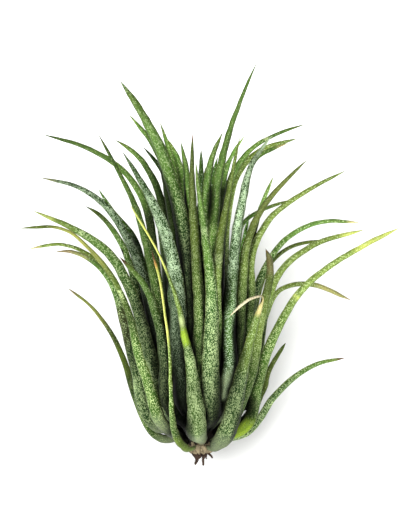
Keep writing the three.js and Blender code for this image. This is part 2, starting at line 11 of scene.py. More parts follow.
import bpy
import numpy as np
from bpy.props import FloatProperty, FloatVectorProperty, IntProperty, PointerProperty
from mathutils.bvhtree import BVHTree
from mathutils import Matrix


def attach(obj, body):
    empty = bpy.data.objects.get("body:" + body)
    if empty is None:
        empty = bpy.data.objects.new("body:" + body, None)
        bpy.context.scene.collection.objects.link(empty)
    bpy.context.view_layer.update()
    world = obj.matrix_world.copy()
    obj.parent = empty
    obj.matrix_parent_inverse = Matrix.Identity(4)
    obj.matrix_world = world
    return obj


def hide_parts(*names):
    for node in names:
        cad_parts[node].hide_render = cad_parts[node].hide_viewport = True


bl_info = {
    "name": "Air plant",
    "version": (1, 0, 0),
    "blender": (4, 5, 0),
    "location": "3D View > Sidebar > Air Plant",
    "description": "Builds the leaves, the stem and the roots of an air plant around its frame",
    "category": "Object",
}

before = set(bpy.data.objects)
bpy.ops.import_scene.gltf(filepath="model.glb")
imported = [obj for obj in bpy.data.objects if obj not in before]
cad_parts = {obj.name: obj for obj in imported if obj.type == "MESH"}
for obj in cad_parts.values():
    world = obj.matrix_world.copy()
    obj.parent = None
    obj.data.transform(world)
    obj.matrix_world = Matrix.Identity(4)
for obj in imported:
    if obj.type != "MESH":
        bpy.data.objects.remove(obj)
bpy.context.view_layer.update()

MM = 0.001
AXIS_FOOT = (-2.25 * MM, -46.99 * MM, 15.0 * MM)  # the foot of the stem
AXIS_RISE = 0.12  # of the plant's axis over the surface, for each unit up the plant


# ---- Colours and sizes a user may change ----

def linear(hex_code):
    """A screen colour such as "4e6e34" as linear red, green and blue."""
    channels = (int(hex_code[i:i + 2], 16) / 255 for i in (0, 2, 4))
    return tuple(c / 12.92 if c <= 0.04045 else ((c + 0.055) / 1.055) ** 2.4 for c in channels)


def colour(label, hex_code, description):
    return FloatVectorProperty(
        name=label, description=description, subtype="COLOR", size=3, min=0, max=1,
        default=linear(hex_code))


class LeafColours(bpy.types.PropertyGroup):
    """The colours that a leaf turns through from its sheath to its tip."""
    husk: colour("Husk", "85775a", "Dry foot of a leaf, where it leaves the stem")
    sheath: colour("Sheath", "79886a", "Pale base of a leaf, where it wraps the stem")
    mature: colour("Mature green", "2f481b", "Full-grown blade under its scales")
    # Painted shade: a darker copy of the mature green, partly the blade's own darker green, partly
    # shade inside the rosette.
    dark_green_and_painted_shade: colour("Deep green", "22381a", "Shaded blade inside the rosette")
    young: colour("Young green", "46622d", "Bare upper half of a young blade")
    olive: colour("Olive", "4e5f2b", "Blade that has seen more sun")
    lime: colour("Lime", "82a034", "Bare band that was covered until lately")
    yellow: colour("Yellow", "a3ab5c", "Ageing blade")
    straw: colour("Straw", "a89f6f", "Tip that has begun to dry")
    cream: colour("Cream", "c2ba9e", "Dried thread")
    brown: colour("Brown", "483327", "Dead tip")
    rust: colour("Rust", "79482f", "Edge between the live and the dead tip")
    frost: colour("Frost", "9cad7c", "Scales that cover a full-grown blade all over")
    flecks: colour("Flecks", "abba82", "Scattered scales of the greener blades")
    silver: colour("Silver", "a9bd9c", "Scales of the leaves that look silvery")


class LeafDetail(bpy.types.PropertyGroup):
    """The sizes of what is finer than the blade itself."""
    scale_size: FloatProperty(
        name="Scale size", description="Distance from one scale to the next",
        default=0.18 * MM, min=0.1 * MM, max=2 * MM, unit="LENGTH", precision=5)
    scale_relief: FloatProperty(
        name="Scale relief", description="How far a scale stands off the blade",
        default=0.03 * MM, min=0, max=0.2 * MM, unit="LENGTH", precision=5)
    margin_wave: FloatProperty(
        name="Margin wave", description="How far a margin strays from a smooth line",
        default=0.09 * MM, min=0, max=0.5 * MM, unit="LENGTH", precision=5)
    sections: IntProperty(
        name="Sections", description="Cross-sections along a blade", default=110, min=20, max=300)


class StemSettings(bpy.types.PropertyGroup):
    """The stem and the roots."""
    collar: colour("Collar", "9a8c6e", "Dry leaf bases round the foot of the stem")
    # Near black: partly the stem's own dark wood, partly painted shade where it shows between the
    # leaf bases.
    bark_and_painted_shade: colour("Bark", "211a14", "Woody stem")
    root: colour("Root", "46352b", "Dried root")
    fibre: FloatProperty(
        name="Root fibre", description="Thickness of one root fibre",
        default=0.34 * MM, min=0.1 * MM, max=1 * MM, unit="LENGTH", precision=5)


class StageSettings(bpy.types.PropertyGroup):
    """The surface, the lights and the camera."""
    surface: colour("Surface", "f6f6f5", "Plain pale surface")
    key: FloatProperty(name="Key light", description="Power of the large soft light", default=22.0,
                       min=0, unit="POWER")
    fill: FloatProperty(name="Surroundings", description="Brightness all round", default=0.72,
                        min=0)
    height: FloatProperty(name="Camera height", description="Above the surface", default=2.0,
                          min=0.3, unit="LENGTH")
    framed: FloatProperty(name="Framed length", description="Seen from edge to edge",
                          default=0.130, min=0.01, unit="LENGTH")


# ---- How each leaf looks ----

# Stops are {percent of the leaf's length from the stem: value}. Shares are percents too.

# A habit gives the colours along a leaf, and how thickly scales cover it.
HABITS = {
    "frosted": dict(tint={0: "husk", 2.5: "sheath", 8: "sheath", 15: "dark_green_and_painted_shade", 50: "dark_green_and_painted_shade",
        70: "mature", 88: "young", 100: "olive"},
        frost={0: 20, 8: 50, 15: 72, 40: 68, 60: 58, 85: 42, 100: 30}),
    "silver": dict(tint={0: "husk", 2.5: "sheath", 12: "sheath", 22: "dark_green_and_painted_shade", 90: "dark_green_and_painted_shade",
        100: "sheath"}, frost={0: 10, 12: 35, 30: 68, 85: 72, 100: 70}),
    "bright": dict(tint={0: "husk", 3: "sheath", 12: "mature", 40: "mature", 60: "young",
        95: "young", 100: "olive"}, frost={0: 10, 12: 50, 50: 42, 70: 25, 100: 15}),
    "olive": dict(tint={0: "husk", 3: "sheath", 12: "mature", 40: "mature", 65: "olive",
        100: "olive"}, frost={0: 10, 12: 50, 50: 52, 75: 42, 100: 25}),
    "yellowing": dict(tint={0: "husk", 3: "sheath", 10: "sheath", 20: "mature", 50: "mature",
        66: "olive", 80: "yellow", 100: "olive"},
        frost={0: 10, 15: 50, 50: 55, 70: 30, 100: 15}),
    # Painted shade: a leaf that lies in the shade of others takes the darker green over its lower
    # half.
    "shaded": dict(tint={0: "dark_green_and_painted_shade", 50: "dark_green_and_painted_shade", 80: "mature", 100: "mature"},
        frost={0: 25, 30: 35, 70: 35, 100: 25}),
}

# The skin of each habit: its material, the colour of its scales, their size against the size set,
# and how strongly it is streaked.
SKINS = {
    "frosted": ("Frosted leaf", "frost", 1.0, 0.5),
    "silver": ("Silvery leaf", "silver", 0.9, 0.4),
    "bright": ("Young leaf", "flecks", 0.95, 0.9),
    "olive": ("Sunned leaf", "flecks", 0.95, 0.7),
    "yellowing": ("Yellowing leaf", "flecks", 1.0, 0.7),
    "shaded": ("Shaded leaf", "silver", 1.0, 0.6),
}

# Painted light and shade for a leaf that isn't given its own: darker near the stem, under other
# leaves.
HALF_LIT = {5: 60, 25: 80, 45: 100}
UNDERSIDE_HABITS = ("olive", "frosted", "shaded")  # taken in turn by leaves that aren't listed


class Look(NamedTuple):
    """What one leaf has of its own."""
    habit: str
    marks: tuple = ()  # (from, to, colour, cover of scales, strength), in mm back from the tip
    light: dict = HALF_LIT  # painted light and shade: low under other leaves, and high where it stands out of their shade
    painted_side_shade: dict = {0: 0}  # painted shadow a neighbour casts on a margin: the right, or under 0 the left
    breadth: dict = {0: 100}  # against the breadth of the node
    lean: dict = {0: (0, 0)}  # off the middle of the node, in mm: (to the right, up the plant)


# The leaves of each group, numbered as their nodes are.
LEAVES = {"front": {
    1: Look("frosted",
        marks=((0, 20, "yellow", 10, 100), (20, 32, "olive", 30, 80),
           (32, 34.5, "flecks", 75, 50), (35, 39.5, "lime", 10, 100),
           (40, 66, "mature", 75, 80), (64, 72.5, "sheath", 40, 70)),
        light={2: 45, 8: 95, 15: 150, 23: 100, 32: 75, 42: 140, 52: 85, 60: 190, 80: 145,
           100: 130}, painted_side_shade={8: 0, 12: -80, 19: -80, 24: 0},
        breadth={30: 100, 50: 80, 90: 70, 100: 80}),
    2: Look("olive",
        marks=((0, 3, "brown", 0, 100), (3, 5, "rust", 0, 100), (5, 24, "yellow", 10, 100),
           (24, 36, "olive", 30, 70), (51, 60.5, "lime", 5, 50)),
        light={5: 65, 12: 70, 30: 190, 45: 220, 60: 210, 75: 170, 100: 140},
        breadth={0: 100, 20: 88, 38: 62, 55: 62, 100: 80},
        lean={2: (0, 0), 10: (-0.2, -0.25), 25: (0, 0)}),
    3: Look("frosted",
        marks=((0, 10, "cream", 0, 100), (10, 15, "straw", 10, 100), (15, 30, "olive", 40, 70)),
        light={5: 60, 12: 80, 20: 135, 30: 70, 42: 100, 52: 140, 62: 130, 75: 150, 84: 70,
           90: 100}, painted_side_shade={12: 0, 18: 110, 27: 90, 32: 0, 42: -40, 56: -50, 62: 0},
        breadth={35: 100, 60: 78, 100: 80}, lean={2: (0, 0), 10: (0.15, -0.3), 20: (0, 0)}),
    4: Look("frosted", marks=((17, 19, "mature", 95, 80), (21, 26, "young", 30, 50)),
        light={6: 5, 15: 20, 22: 60, 32: 120, 50: 180, 58: 180, 80: 115, 100: 100},
        painted_side_shade={6: 0, 12: 80, 20: 60, 28: 40, 34: 0}, breadth={75: 100, 90: 130, 100: 100},
        lean={75: (0, 0), 90: (-0.2, 0), 100: (-0.1, 0)}),
    5: Look("olive", marks=((0, 2.2, "rust", 0, 100),),
        light={20: 2000, 25: 400, 30: 30, 42: 120, 60: 75, 78: 65, 100: 50},
        breadth={60: 100, 75: 125, 90: 130, 100: 100},
        lean={60: (0, 0), 80: (0.15, 0), 100: (0, 0)}),
    6: Look("frosted", marks=((0, 2.5, "brown", 0, 100),),
        light={10: 3, 25: 10, 42: 28, 55: 60, 78: 85}),
    7: Look("silver", marks=((0, 10.5, "mature", 45, 70),),
        light={20: 10, 32: 25, 44: 70, 60: 130, 75: 110, 90: 70},
        breadth={60: 100, 75: 120, 90: 100}, lean={60: (0, 0), 75: (-0.2, 0), 100: (0, 0)}),
    8: Look("bright", light={25: 30, 40: 130, 55: 55, 75: 65, 100: 55},
        breadth={45: 100, 62: 115, 75: 112, 100: 100},
        lean={50: (0, 0), 75: (-0.25, -0.1), 100: (0, 0)}),
    9: Look("olive", marks=((0, 24, "olive", 25, 80), (30, 33, "mature", 95, 70)),
        light={25: 20, 33: 35, 42: 200, 50: 230, 60: 70, 75: 70, 92: 100}),
    10: Look("silver",
        marks=((0, 4, "silver", 90, 70), (36, 58, "mature", 40, 60),
           (62, 79, "sheath", 15, 80)),
        light={5: 300, 12: 500, 20: 90, 25: 140, 33: 200, 40: 200, 58: 95, 75: 150, 92: 65},
        painted_side_shade={20: 0, 26: 250, 38: 200, 43: 0, 47: -100, 52: -100, 56: 0},
        lean={50: (0, 0), 72: (-0.1, 0), 100: (0, 0)}),
    11: Look("olive", marks=((0, 22, "yellow", 20, 20),),
        light={25: 20, 42: 50, 58: 130, 70: 60, 85: 50, 100: 60},
        painted_side_shade={20: 0, 26: -100, 39: -100, 45: 0}),
    12: Look("olive", marks=((0, 1, "rust", 0, 80), (1, 7, "husk", 30, 50)),
        light={10: 90, 25: 85, 42: 85, 55: 150, 68: 135, 80: 60, 100: 50},
        breadth={40: 100, 58: 85, 80: 85, 100: 100},
        lean={40: (0, 0), 60: (-0.2, 0), 100: (0, 0)}),
}, "left": {
    1: Look("olive",
        marks=((0, 3, "husk", 0, 100), (3, 14, "yellow", 10, 50), (20, 28, "lime", 10, 50)),
        light={5: 40, 25: 130, 38: 50, 50: 30, 62: 45, 75: 60, 100: 100},
        breadth={0: 82, 7: 85, 13: 105, 30: 105, 40: 100},
        lean={2: (0, 0), 12: (-0.2, -0.3), 40: (0, 0), 60: (-0.15, -0.1), 78: (-0.3, -0.2),
           100: (0, 0)}),
    2: Look("frosted",
        marks=((0, 5, "husk", 10, 90), (5, 9, "straw", 30, 40), (24, 34, "brown", 40, 30)),
        light={6: 40, 30: 150, 42: 40, 58: 95, 72: 180, 85: 110, 100: 100},
        breadth={40: 100, 60: 88, 80: 85, 100: 100}),
    3: Look("yellowing",
        marks=((0, 9, "olive", 15, 90), (9, 24, "yellow", 5, 80), (32, 35, "mature", 80, 80)),
        light={5: 15, 12: 20, 20: 160, 35: 150, 42: 160, 50: 55, 60: 120, 72: 50, 82: 55,
           100: 70}, breadth={60: 100, 68: 130, 80: 130, 100: 100},
        lean={50: (0, 0), 75: (-0.1, 0.15), 100: (0, 0)}),
    4: Look("frosted",
        marks=((0, 6, "yellow", 10, 60), (6, 12, "olive", 20, 80),
           (12.5, 15, "mature", 80, 90)),
        light={5: 100, 20: 500, 27: 200, 34: 160, 42: 150, 50: 110, 78: 150, 100: 90},
        painted_side_shade={24: 0, 30: 60, 48: 50, 54: 0},
        breadth={50: 100, 65: 115, 76: 130, 90: 110, 100: 100},
        lean={50: (0, 0), 75: (-0.2, -0.4), 90: (0, -0.15), 100: (0, 0)}),
    5: Look("olive", marks=((0, 3, "straw", 0, 70),), light={60: 120, 75: 150, 100: 125}),
    6: Look("frosted", light={50: 110, 60: 120, 75: 190, 90: 60},
        painted_side_shade={46: 0, 50: 80, 54: 80, 58: 0}, breadth={60: 100, 80: 130, 100: 110},
        lean={50: (0, 0), 75: (0.3, 0.1), 100: (0.2, 0)}),
    7: Look("shaded", light={50: 130, 62: 80, 75: 8, 90: 190},
        breadth={60: 100, 75: 150, 90: 100}, lean={55: (0, 0), 75: (0.15, 0.1), 100: (0, 0)}),
    8: Look("silver", marks=((0, 4, "straw", 30, 50),),
        light={30: 15, 42: 20, 50: 50, 60: 45, 75: 95, 90: 65, 100: 55},
        breadth={40: 100, 65: 115, 76: 140, 90: 125, 100: 100}),
    9: Look("bright",
        light={20: 300, 40: 190, 48: 35, 58: 20, 66: 130, 75: 105, 90: 65, 100: 60},
        breadth={5: 85, 10: 100, 45: 100, 58: 115, 70: 100, 85: 115, 100: 100},
        lean={40: (0, 0), 58: (0.25, 0), 70: (0, 0)}),
    10: Look("bright", light={20: 50, 60: 12, 75: 25, 90: 95},
        lean={70: (0, 0), 90: (-0.2, -0.2), 100: (0, 0)}),
}, "heart": {
    1: Look("shaded", light={30: 100, 45: 180, 70: 50}),
    2: Look("frosted", marks=((0, 4, "mature", 60, 100),),
        light={10: 100, 20: 300, 27: 50, 35: 15, 50: 40, 60: 120, 75: 110, 100: 85},
        painted_side_shade={34: 0, 42: -130, 60: -120, 68: -80, 72: 0},
        breadth={0: 100, 50: 95, 80: 90, 92: 78, 100: 85},
        lean={65: (0, 0), 82: (0.2, 0), 100: (0.1, 0)}),
    3: Look("bright", light={50: 30, 65: 20, 80: 8, 92: 130}, breadth={80: 100, 92: 80}),
    4: Look("bright", light={5: 60, 50: 120, 75: 200, 100: 140}),
    5: Look("bright", light={0: 90, 50: 170, 70: 260, 100: 220}),
    6: Look("bright", light={50: 130, 70: 500, 78: 160, 88: 100, 100: 80}),
    7: Look("shaded", light={50: 180, 70: 240, 85: 130, 100: 110}),
    8: Look("bright"),
    9: Look("frosted", light={30: 70, 50: 120, 60: 180, 70: 200, 76: 200, 84: 120, 100: 75},
        painted_side_shade={66: 0, 71: 120, 78: 120, 82: 0}),
    10: Look("bright", light={40: 800, 48: 350, 55: 80, 75: 80, 100: 58},
        painted_side_shade={54: 0, 58: -80, 62: -80, 66: 0}),
    11: Look("shaded", light={70: 100, 85: 180}),
    12: Look("bright", light={60: 15, 78: 12, 84: 160, 92: 200, 100: 180},
        breadth={75: 100, 90: 80}, lean={75: (0, 0), 90: (0.15, 0), 100: (0, 0)}),
}, "right": {
    1: Look("bright", marks=((10, 12, "mature", 110, 60),),
        light={20: 60, 40: 22, 55: 70, 72: 160, 85: 90, 100: 60},
        painted_side_shade={30: 0, 36: 120, 42: 120, 46: 0},
        lean={75: (0, 0), 90: (0.2, 0), 100: (0, 0)}),
    2: Look("olive", light={42: 40, 50: 150, 62: 320, 75: 200, 100: 130}),
    3: Look("bright", marks=((0, 3, "straw", 0, 80),),
        light={30: 150, 60: 120, 85: 90, 100: 80}),
    4: Look("frosted", light={0: 90, 30: 130, 70: 170}),
    5: Look("olive", light={10: 100, 30: 300, 40: 65, 50: 150, 58: 170, 75: 140, 100: 105},
        breadth={40: 100, 55: 85, 80: 82, 100: 90}),
    6: Look("frosted", light={30: 130, 75: 120, 100: 140}),
    7: Look("frosted", marks=((0, 3, "straw", 10, 80),),
        light={42: 120, 58: 200, 75: 170, 100: 150},
        breadth={50: 100, 60: 80, 75: 68, 90: 75, 100: 90}),
    8: Look("olive", marks=((0, 6, "yellow", 10, 45),),
        light={10: 80, 30: 140, 58: 160, 75: 130, 100: 125},
        breadth={30: 100, 40: 82, 75: 75, 100: 85},
        lean={60: (0, 0), 75: (0.1, -0.15), 100: (0, 0)}),
    9: Look("olive", light={50: 130, 75: 90, 100: 110}),
    10: Look("olive",
        marks=((0, 12, "yellow", 5, 50), (31, 32, "yellow", 20, 50), (66, 76, "lime", 5, 100)),
        light={5: 120, 15: 70, 20: 90, 25: 150, 30: 100, 42: 190, 58: 155, 75: 175, 100: 125},
        painted_side_shade={15: 0, 19: -100, 23: -100, 27: 0},
        breadth={30: 100, 50: 80, 72: 62, 85: 80, 92: 100},
        lean={40: (0, 0), 58: (0, 0.3), 75: (0, 0.2), 90: (-0.1, 0.15), 100: (0, 0)}),
    11: Look("olive", marks=((0, 2, "husk", 0, 100), (2, 10, "straw", 20, 45)),
        light={40: 150, 60: 180, 75: 150, 100: 105},
        lean={50: (0, 0), 72: (0, -0.2), 100: (0, 0)}),
    12: Look("frosted", marks=((0, 2, "brown", 0, 100),),
        light={2: 50, 20: 190, 42: 180, 75: 170, 90: 140, 100: 130},
        breadth={5: 100, 20: 82, 35: 95, 100: 100},
        lean={30: (0, 0), 50: (0.2, -0.2), 90: (0, -0.25), 100: (0, -0.1)}),
    13: Look("olive", marks=((0, 32, "olive", 10, 90),), light={0: 70, 100: 80},
        breadth={30: 100, 55: 78, 100: 80}),
}, "under": {
    3: Look("shaded", breadth={9: 85, 15: 100}),
    6: Look("shaded", light={50: 150, 80: 260}),
    9: Look("shaded", light={50: 20, 60: 15, 75: 110},
        breadth={10: 85, 15: 100, 60: 100, 80: 160}),
    11: Look("frosted", light={60: 150, 100: 200}),
}}


# ---- Reading a leaf's sections out of its node ----

def shared_corners(mesh):
    """A mesh's points with those in one place made one, and its triangles among them."""
    places = np.empty(len(mesh.vertices) * 3)
    mesh.vertices.foreach_get("co", places)
    keys = np.round(places.reshape(-1, 3) * 2e5).astype(int)
    _, first, merged = np.unique(keys, axis=0, return_index=True, return_inverse=True)
    corners = np.array([merged[i] for face in mesh.polygons for i in face.vertices])
    return places.reshape(-1, 3)[first], corners.reshape(-1, 3)


def sharpest(points, triangles):
    """The point round which the faces fill the smallest angle: the tip."""
    angles = np.zeros(len(points))
    for turn in range(3):
        here, ahead, behind = (triangles[:, (turn + k) % 3] for k in range(3))
        a, b = points[ahead] - points[here], points[behind] - points[here]
        lengths = np.linalg.norm(a, axis=1) * np.linalg.norm(b, axis=1)
        cosines = np.clip((a * b).sum(1) / np.maximum(lengths, 1e-15), -1, 1)
        np.add.at(angles, here, np.arccos(cosines))
    return int(angles.argmin())


def sections_of(node):
    """A leaf's sections from the stem to the tip, each as its six corners in one order."""
    points, triangles = shared_corners(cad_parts[node].data)
    near = [set() for _ in points]
    for a, b, c in triangles:
        near[a] |= {b, c}
        near[b] |= {a, c}
        near[c] |= {a, b}
    tip = sharpest(points, triangles)
    seen, layer, layers = {tip}, sorted(near[tip]), []
    while layer:
        if len(layer) != 6:
            raise ValueError(f"{node} has a section with {len(layer)} corners")
        layers.append(layer)
        seen |= set(layer)
        layer = sorted({j for i in layer for j in near[i]} - seen)
    ring = [layers[0][0]]
    while len(ring) < 6:
        onward = [j for j in near[ring[-1]] if j in layers[0] and j not in ring]
        ring.append(onward[0])
    rings = [points[ring]]
    orders = np.array(list(itertools.permutations(range(6))))
    for layer in layers[1:]:
        ahead = points[layer]
        shape = rings[-1] - rings[-1].mean(0)
        shape = shape / np.sqrt((shape ** 2).sum())
        candidate = (ahead - ahead.mean(0)) / np.sqrt(((ahead - ahead.mean(0)) ** 2).sum())
        misfit = ((candidate[orders] - shape) ** 2).sum((1, 2))
        rings.append(ahead[orders[misfit.argmin()]])
    rings = np.array(rings)[::-1]
    across = [np.linalg.norm(rings[:, i] - rings[:, (i + 2) % 6], axis=1).sum() for i in range(6)]
    return np.roll(rings, -int(np.argmax(across)), axis=1), points[tip]


class Blade:
    """A leaf's middle line and what it carries, at even steps from the stem to the tip."""

    def __init__(self, node, steps):
        rings, tip = sections_of(node)
        left, channel, right, back = rings[:, 0], rings[:, 1], rings[:, 2], rings[:, 4]
        middle = np.vstack([(left + right) / 2, tip])
        span = np.vstack([right - left, np.zeros(3)])
        rise = np.vstack([back - (left + right) / 2, np.zeros(3)])
        wall = np.append(np.linalg.norm(back - channel, axis=1), 0)
        travelled = distances(middle)
        self.length = travelled[-1]
        self.along = np.linspace(0, 1, steps) * self.length
        self.share = self.along / self.length
        self.middle = smooth_through(travelled, middle, self.along)
        self.span = smooth_through(travelled, span, self.along)
        self.rise = smooth_through(travelled, rise, self.along)
        self.wall = np.interp(self.along, travelled, wall)


def distances(points):
    """How far along the line through them the points lie."""
    return np.append(0, np.cumsum(np.linalg.norm(np.diff(points, axis=0), axis=1)))


def smooth_through(at, values, wanted):
    """Values at the wanted places on a smooth line through those known."""
    slopes = np.gradient(values, at, axis=0)
    i = np.clip(np.searchsorted(at, wanted, side="right") - 1, 0, len(at) - 2)
    step = at[i + 1] - at[i]
    t = ((wanted - at[i]) / step)[:, None]
    step = step[:, None]
    start, end = values[i], values[i + 1]
    return ((2 * t ** 3 - 3 * t ** 2 + 1) * start + (t ** 3 - 2 * t ** 2 + t) * step * slopes[i]
            + (3 * t ** 2 - 2 * t ** 3) * end + (t ** 3 - t ** 2) * step * slopes[i + 1])


def smooth_line(knots, steps):
    """Points at even steps on a smooth line through knots, and how far along it they lie."""
    at = distances(knots)
    wanted = np.linspace(0, at[-1], steps)
    return smooth_through(at, knots, wanted), wanted


WANDER_PARTS = ((1.0, 0.5), (0.57, 0.3), (0.31, 0.2))  # (share of the wavelength, of the depth)


def wander(rng, at, wavelength, depth):
    """A smooth random line of a given wavelength and depth."""
    phases = rng.uniform(0, 2 * math.pi, len(WANDER_PARTS))
    return depth * sum(np.sin(at * (2 * math.pi / (wavelength * part)) + phase) * weight
                       for phase, (part, weight) in zip(phases, WANDER_PARTS))


# ---- Meshes ----

def mesh_object(name, points, faces, material):
    mesh = bpy.data.meshes.new(name)
    mesh.from_pydata([tuple(p) for p in points], [], faces)
    mesh.materials.append(material)
    mesh.polygons.foreach_set("use_smooth", [True] * len(mesh.polygons))
    piece = bpy.data.objects.new(name, mesh)
    bpy.context.scene.collection.objects.link(piece)
    return piece


def outward(points, faces):
    """The faces turned so that they look out of the closed surface they make."""
    triangles = np.array([(f[0], f[i], f[i + 1]) for f in faces for i in range(1, len(f) - 1)])
    a, b, c = (points[triangles[:, k]] for k in range(3))
    volume = (a * np.cross(b, c)).sum()
    return faces if volume > 0 else [tuple(reversed(f)) for f in faces]


def sweep_faces(points, sides):
    """Faces that join rings of points, capped at the start and drawn to the last point."""
    rings = len(points) // sides
    faces = [tuple(range(sides))]
    for r in range(rings - 1):
        for k in range(sides):
            a, b = r * sides + k, r * sides + (k + 1) % sides
            faces.append((b, a, a + sides, b + sides))
    last = (rings - 1) * sides
    faces += [(last + (k + 1) % sides, last + k, rings * sides) for k in range(sides)]
    return outward(points, faces)


def joined(parts):
    """Several meshes' (points, faces) as those of one mesh."""
    points, faces, count = [], [], 0
    for p, f in parts:
        points.append(p)
        faces += [tuple(i + count for i in face) for face in f]
        count += len(p)
    return np.vstack(points), faces


def store(mesh, name, kind, values):
    layer = mesh.attributes.new(name, kind, "POINT")
    layer.data.foreach_set({"FLOAT": "value", "FLOAT_VECTOR": "vector"}.get(kind, "color"),
                           np.ascontiguousarray(values, dtype=np.float32).ravel())


# ---- Leaves ----

# The points of a section, from -1 at one margin to 1 at the other: over the blade's back, and then
# back again through its channel.
OVER_BACK = np.sin(np.linspace(-1, 1, 13) * math.pi / 2)
THROUGH_CHANNEL = np.array([0.96, 0.78, 0.5, 0.2, -0.2, -0.5, -0.78, -0.96])
AROUND = np.append(OVER_BACK, THROUGH_CHANNEL)
SIDES = len(AROUND)
ON_BACK = np.arange(SIDES) < len(OVER_BACK)

BACK_CURVE, CHANNEL_CURVE = 2.4, 1.5  # powers that shape a section: the higher, the flatter
CHANNEL_SINK = 0.02 * MM  # how far the channel lies under the margins
THINNEST = 0.1 * MM  # the wall between the channel and the back
THICKEST_WALL = 0.75  # of the blade's height
MARGIN_WAVES = (6 * MM, 5 * MM, 14 * MM)  # wavelengths: left margin, right margin, both together
WAVES_IN_FULL = 2 * MM  # the breadth from which the margins wave in full

HABIT_DRIFT = (0.9, 0.06)  # wavelength and depth, in leaf lengths, of how a habit's stops stray
TINT_DRIFT = (0.35, 0.1)  # wavelength in leaf lengths, and depth as a share of the tint
MARK_FADE, MARK_FADE_SHARE = 0.6, 0.2  # a mark fades over this many mm, plus a share of its length
PALE_MARGIN, MARGIN_SHARE = 0.14, 0.2  # how broad the pale margin is, and how strong
MARGIN_TONE = 0.8  # of the yellow
CHANNEL_FROST = 0.8  # the cover of scales in the channel, against that on the back
PAINTED_SUN_SIDE = 0.15  # painted light: how much paler than its middle a blade's left margin is, and how much darker its right, as if lit from the left

SHADE_ROWS, SHADE_STEP = 56, 2  # openness is read at so many sections, at every second point
SHUT_IN, OPEN = 0.36, 0.88  # the openness at which the painted shade makes a spot quite dark, and leaves it quite light
LEAST_LIGHT, OPEN_LIGHT = 0.01, 1.03  # painted light in the dark, and what openness adds to it
PAINTED_SHADE_FALL = 3  # how steeply the painted light falls towards a margin in a neighbour's shadow
PAINTED_EDGE_SHADE = 0.62  # painted shade: how much darker than its middle a blade's margin is, where it turns away from the light
SHARP_EDGE = math.radians(55)


def section_heights(height, wall):
    """How far over the margins each point of a section lies."""
    back = height * (1 - np.abs(OVER_BACK) ** BACK_CURVE)
    floor = (height - wall) * (1 - np.abs(THROUGH_CHANNEL) ** CHANNEL_CURVE) - CHANNEL_SINK
    lowest_back = height * (1 - np.abs(THROUGH_CHANNEL) ** BACK_CURVE)
    return np.append(back, np.minimum(floor, lowest_back - THINNEST))


def read_stops(stops, where, unit=100):
    """The values of stops, in their unit, at shares of the leaf's length."""
    places = np.array(list(stops)) / 100
    values = np.array(list(stops.values()), dtype=float) / unit
    if values.ndim == 1:
        return np.interp(where, places, values)
    return np.stack([np.interp(where, places, part) for part in values.T], 1)


def paint(blade, look, colours, rng):
    """The tint and the cover of scales at each section of a leaf."""
    habit = HABITS[look.habit]
    drifted = blade.share + wander(rng, blade.share, *HABIT_DRIFT)
    tint = read_stops({at: getattr(colours, name) for at, name in habit["tint"].items()},
                      drifted, 1)
    frost = read_stops(habit["frost"], drifted)
    from_tip = (blade.length - blade.along) / MM
    for start, end, name, cover, strength in look.marks:
        fade = MARK_FADE + MARK_FADE_SHARE * (end - start)
        inside = np.clip((from_tip - start) / fade + 0.5, 0, 1) if start > 0 else 1
        inside = strength / 100 * inside * np.clip((end - from_tip) / fade + 0.5, 0, 1)
        tint += (np.array(getattr(colours, name)) - tint) * np.reshape(inside, (-1, 1))
        frost += (cover / 100 - frost) * inside
    return tint * (1 + wander(rng, blade.share, *TINT_DRIFT))[:, None], frost


def lookouts(count):
    """Directions spread evenly all round."""
    k = np.arange(count) + 0.5
    up = 1 - 2 * k / count
    turn = k * math.pi * (3 - math.sqrt(5))
    flat = np.sqrt(1 - up ** 2)
    return np.stack([flat * np.cos(turn), flat * np.sin(turn), up], 1)


class Surroundings:
    """The plant's solids, asked how open the view is from a place on a blade."""
    directions = lookouts(40)
    start, reach = 0.22 * MM, 9 * MM
    flattest = 0.1  # directions that lie flatter along the skin than this aren't asked
    past_far_things = 0.6  # the light that comes past a thing at the full reach

    def __init__(self):
        solids = []
        for name in sorted(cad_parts):
            points, triangles = shared_corners(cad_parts[name].data)
            solids.append((points, triangles.tolist()))
        points, faces = joined(solids)
        self.tree = BVHTree.FromPolygons(points.tolist(), faces)

    def openness(self, place, normal):
        """0 where all is shut in, 1 where nothing stands before the surface."""
        facing = self.directions @ normal
        asked = facing > self.flattest
        seen = total = 0.0
        begin = place + normal * self.start
        for direction, share in zip(self.directions[asked], facing[asked]):
            total += share
            hit = self.tree.ray_cast(begin.tolist(), direction.tolist(), self.reach)
            passed = 1.0 if hit[0] is None else self.past_far_things * hit[3] / self.reach
            seen += share * passed
        return seen / total


def openness_of(sections, surroundings):
    """How open the view is from each point of a blade, read at some and spread to the rest."""
    rings = len(sections)
    outward_from = sections - sections.mean(1, keepdims=True)
    rows = np.unique(np.linspace(0, rings - 1, SHADE_ROWS).astype(int))
    picks = np.arange(0, SIDES, SHADE_STEP)
    found = np.empty((len(rows), len(picks)))
    for i, r in enumerate(rows):
        section, midrib = sections[r], sections[r, len(OVER_BACK) // 2]
        ahead = sections[min(r + 1, rings - 1)].mean(0) - sections[max(r - 1, 0)].mean(0)
        for j, k in enumerate(picks):
            normal = np.cross(ahead, section[(k + 1) % SIDES] - section[k - 1])
            normal /= np.linalg.norm(normal)
            out = outward_from[r, k] if ON_BACK[k] else section[k] - midrib
            if normal @ out < 0:
                normal = -normal
            found[i, j] = surroundings.openness(section[k], normal)
    around = np.stack([np.interp(np.arange(SIDES), np.append(picks, SIDES),
                                 np.append(row, row[0])) for row in found])
    return np.stack([np.interp(np.arange(rings), rows, around[:, k]) for k in range(SIDES)], 1)


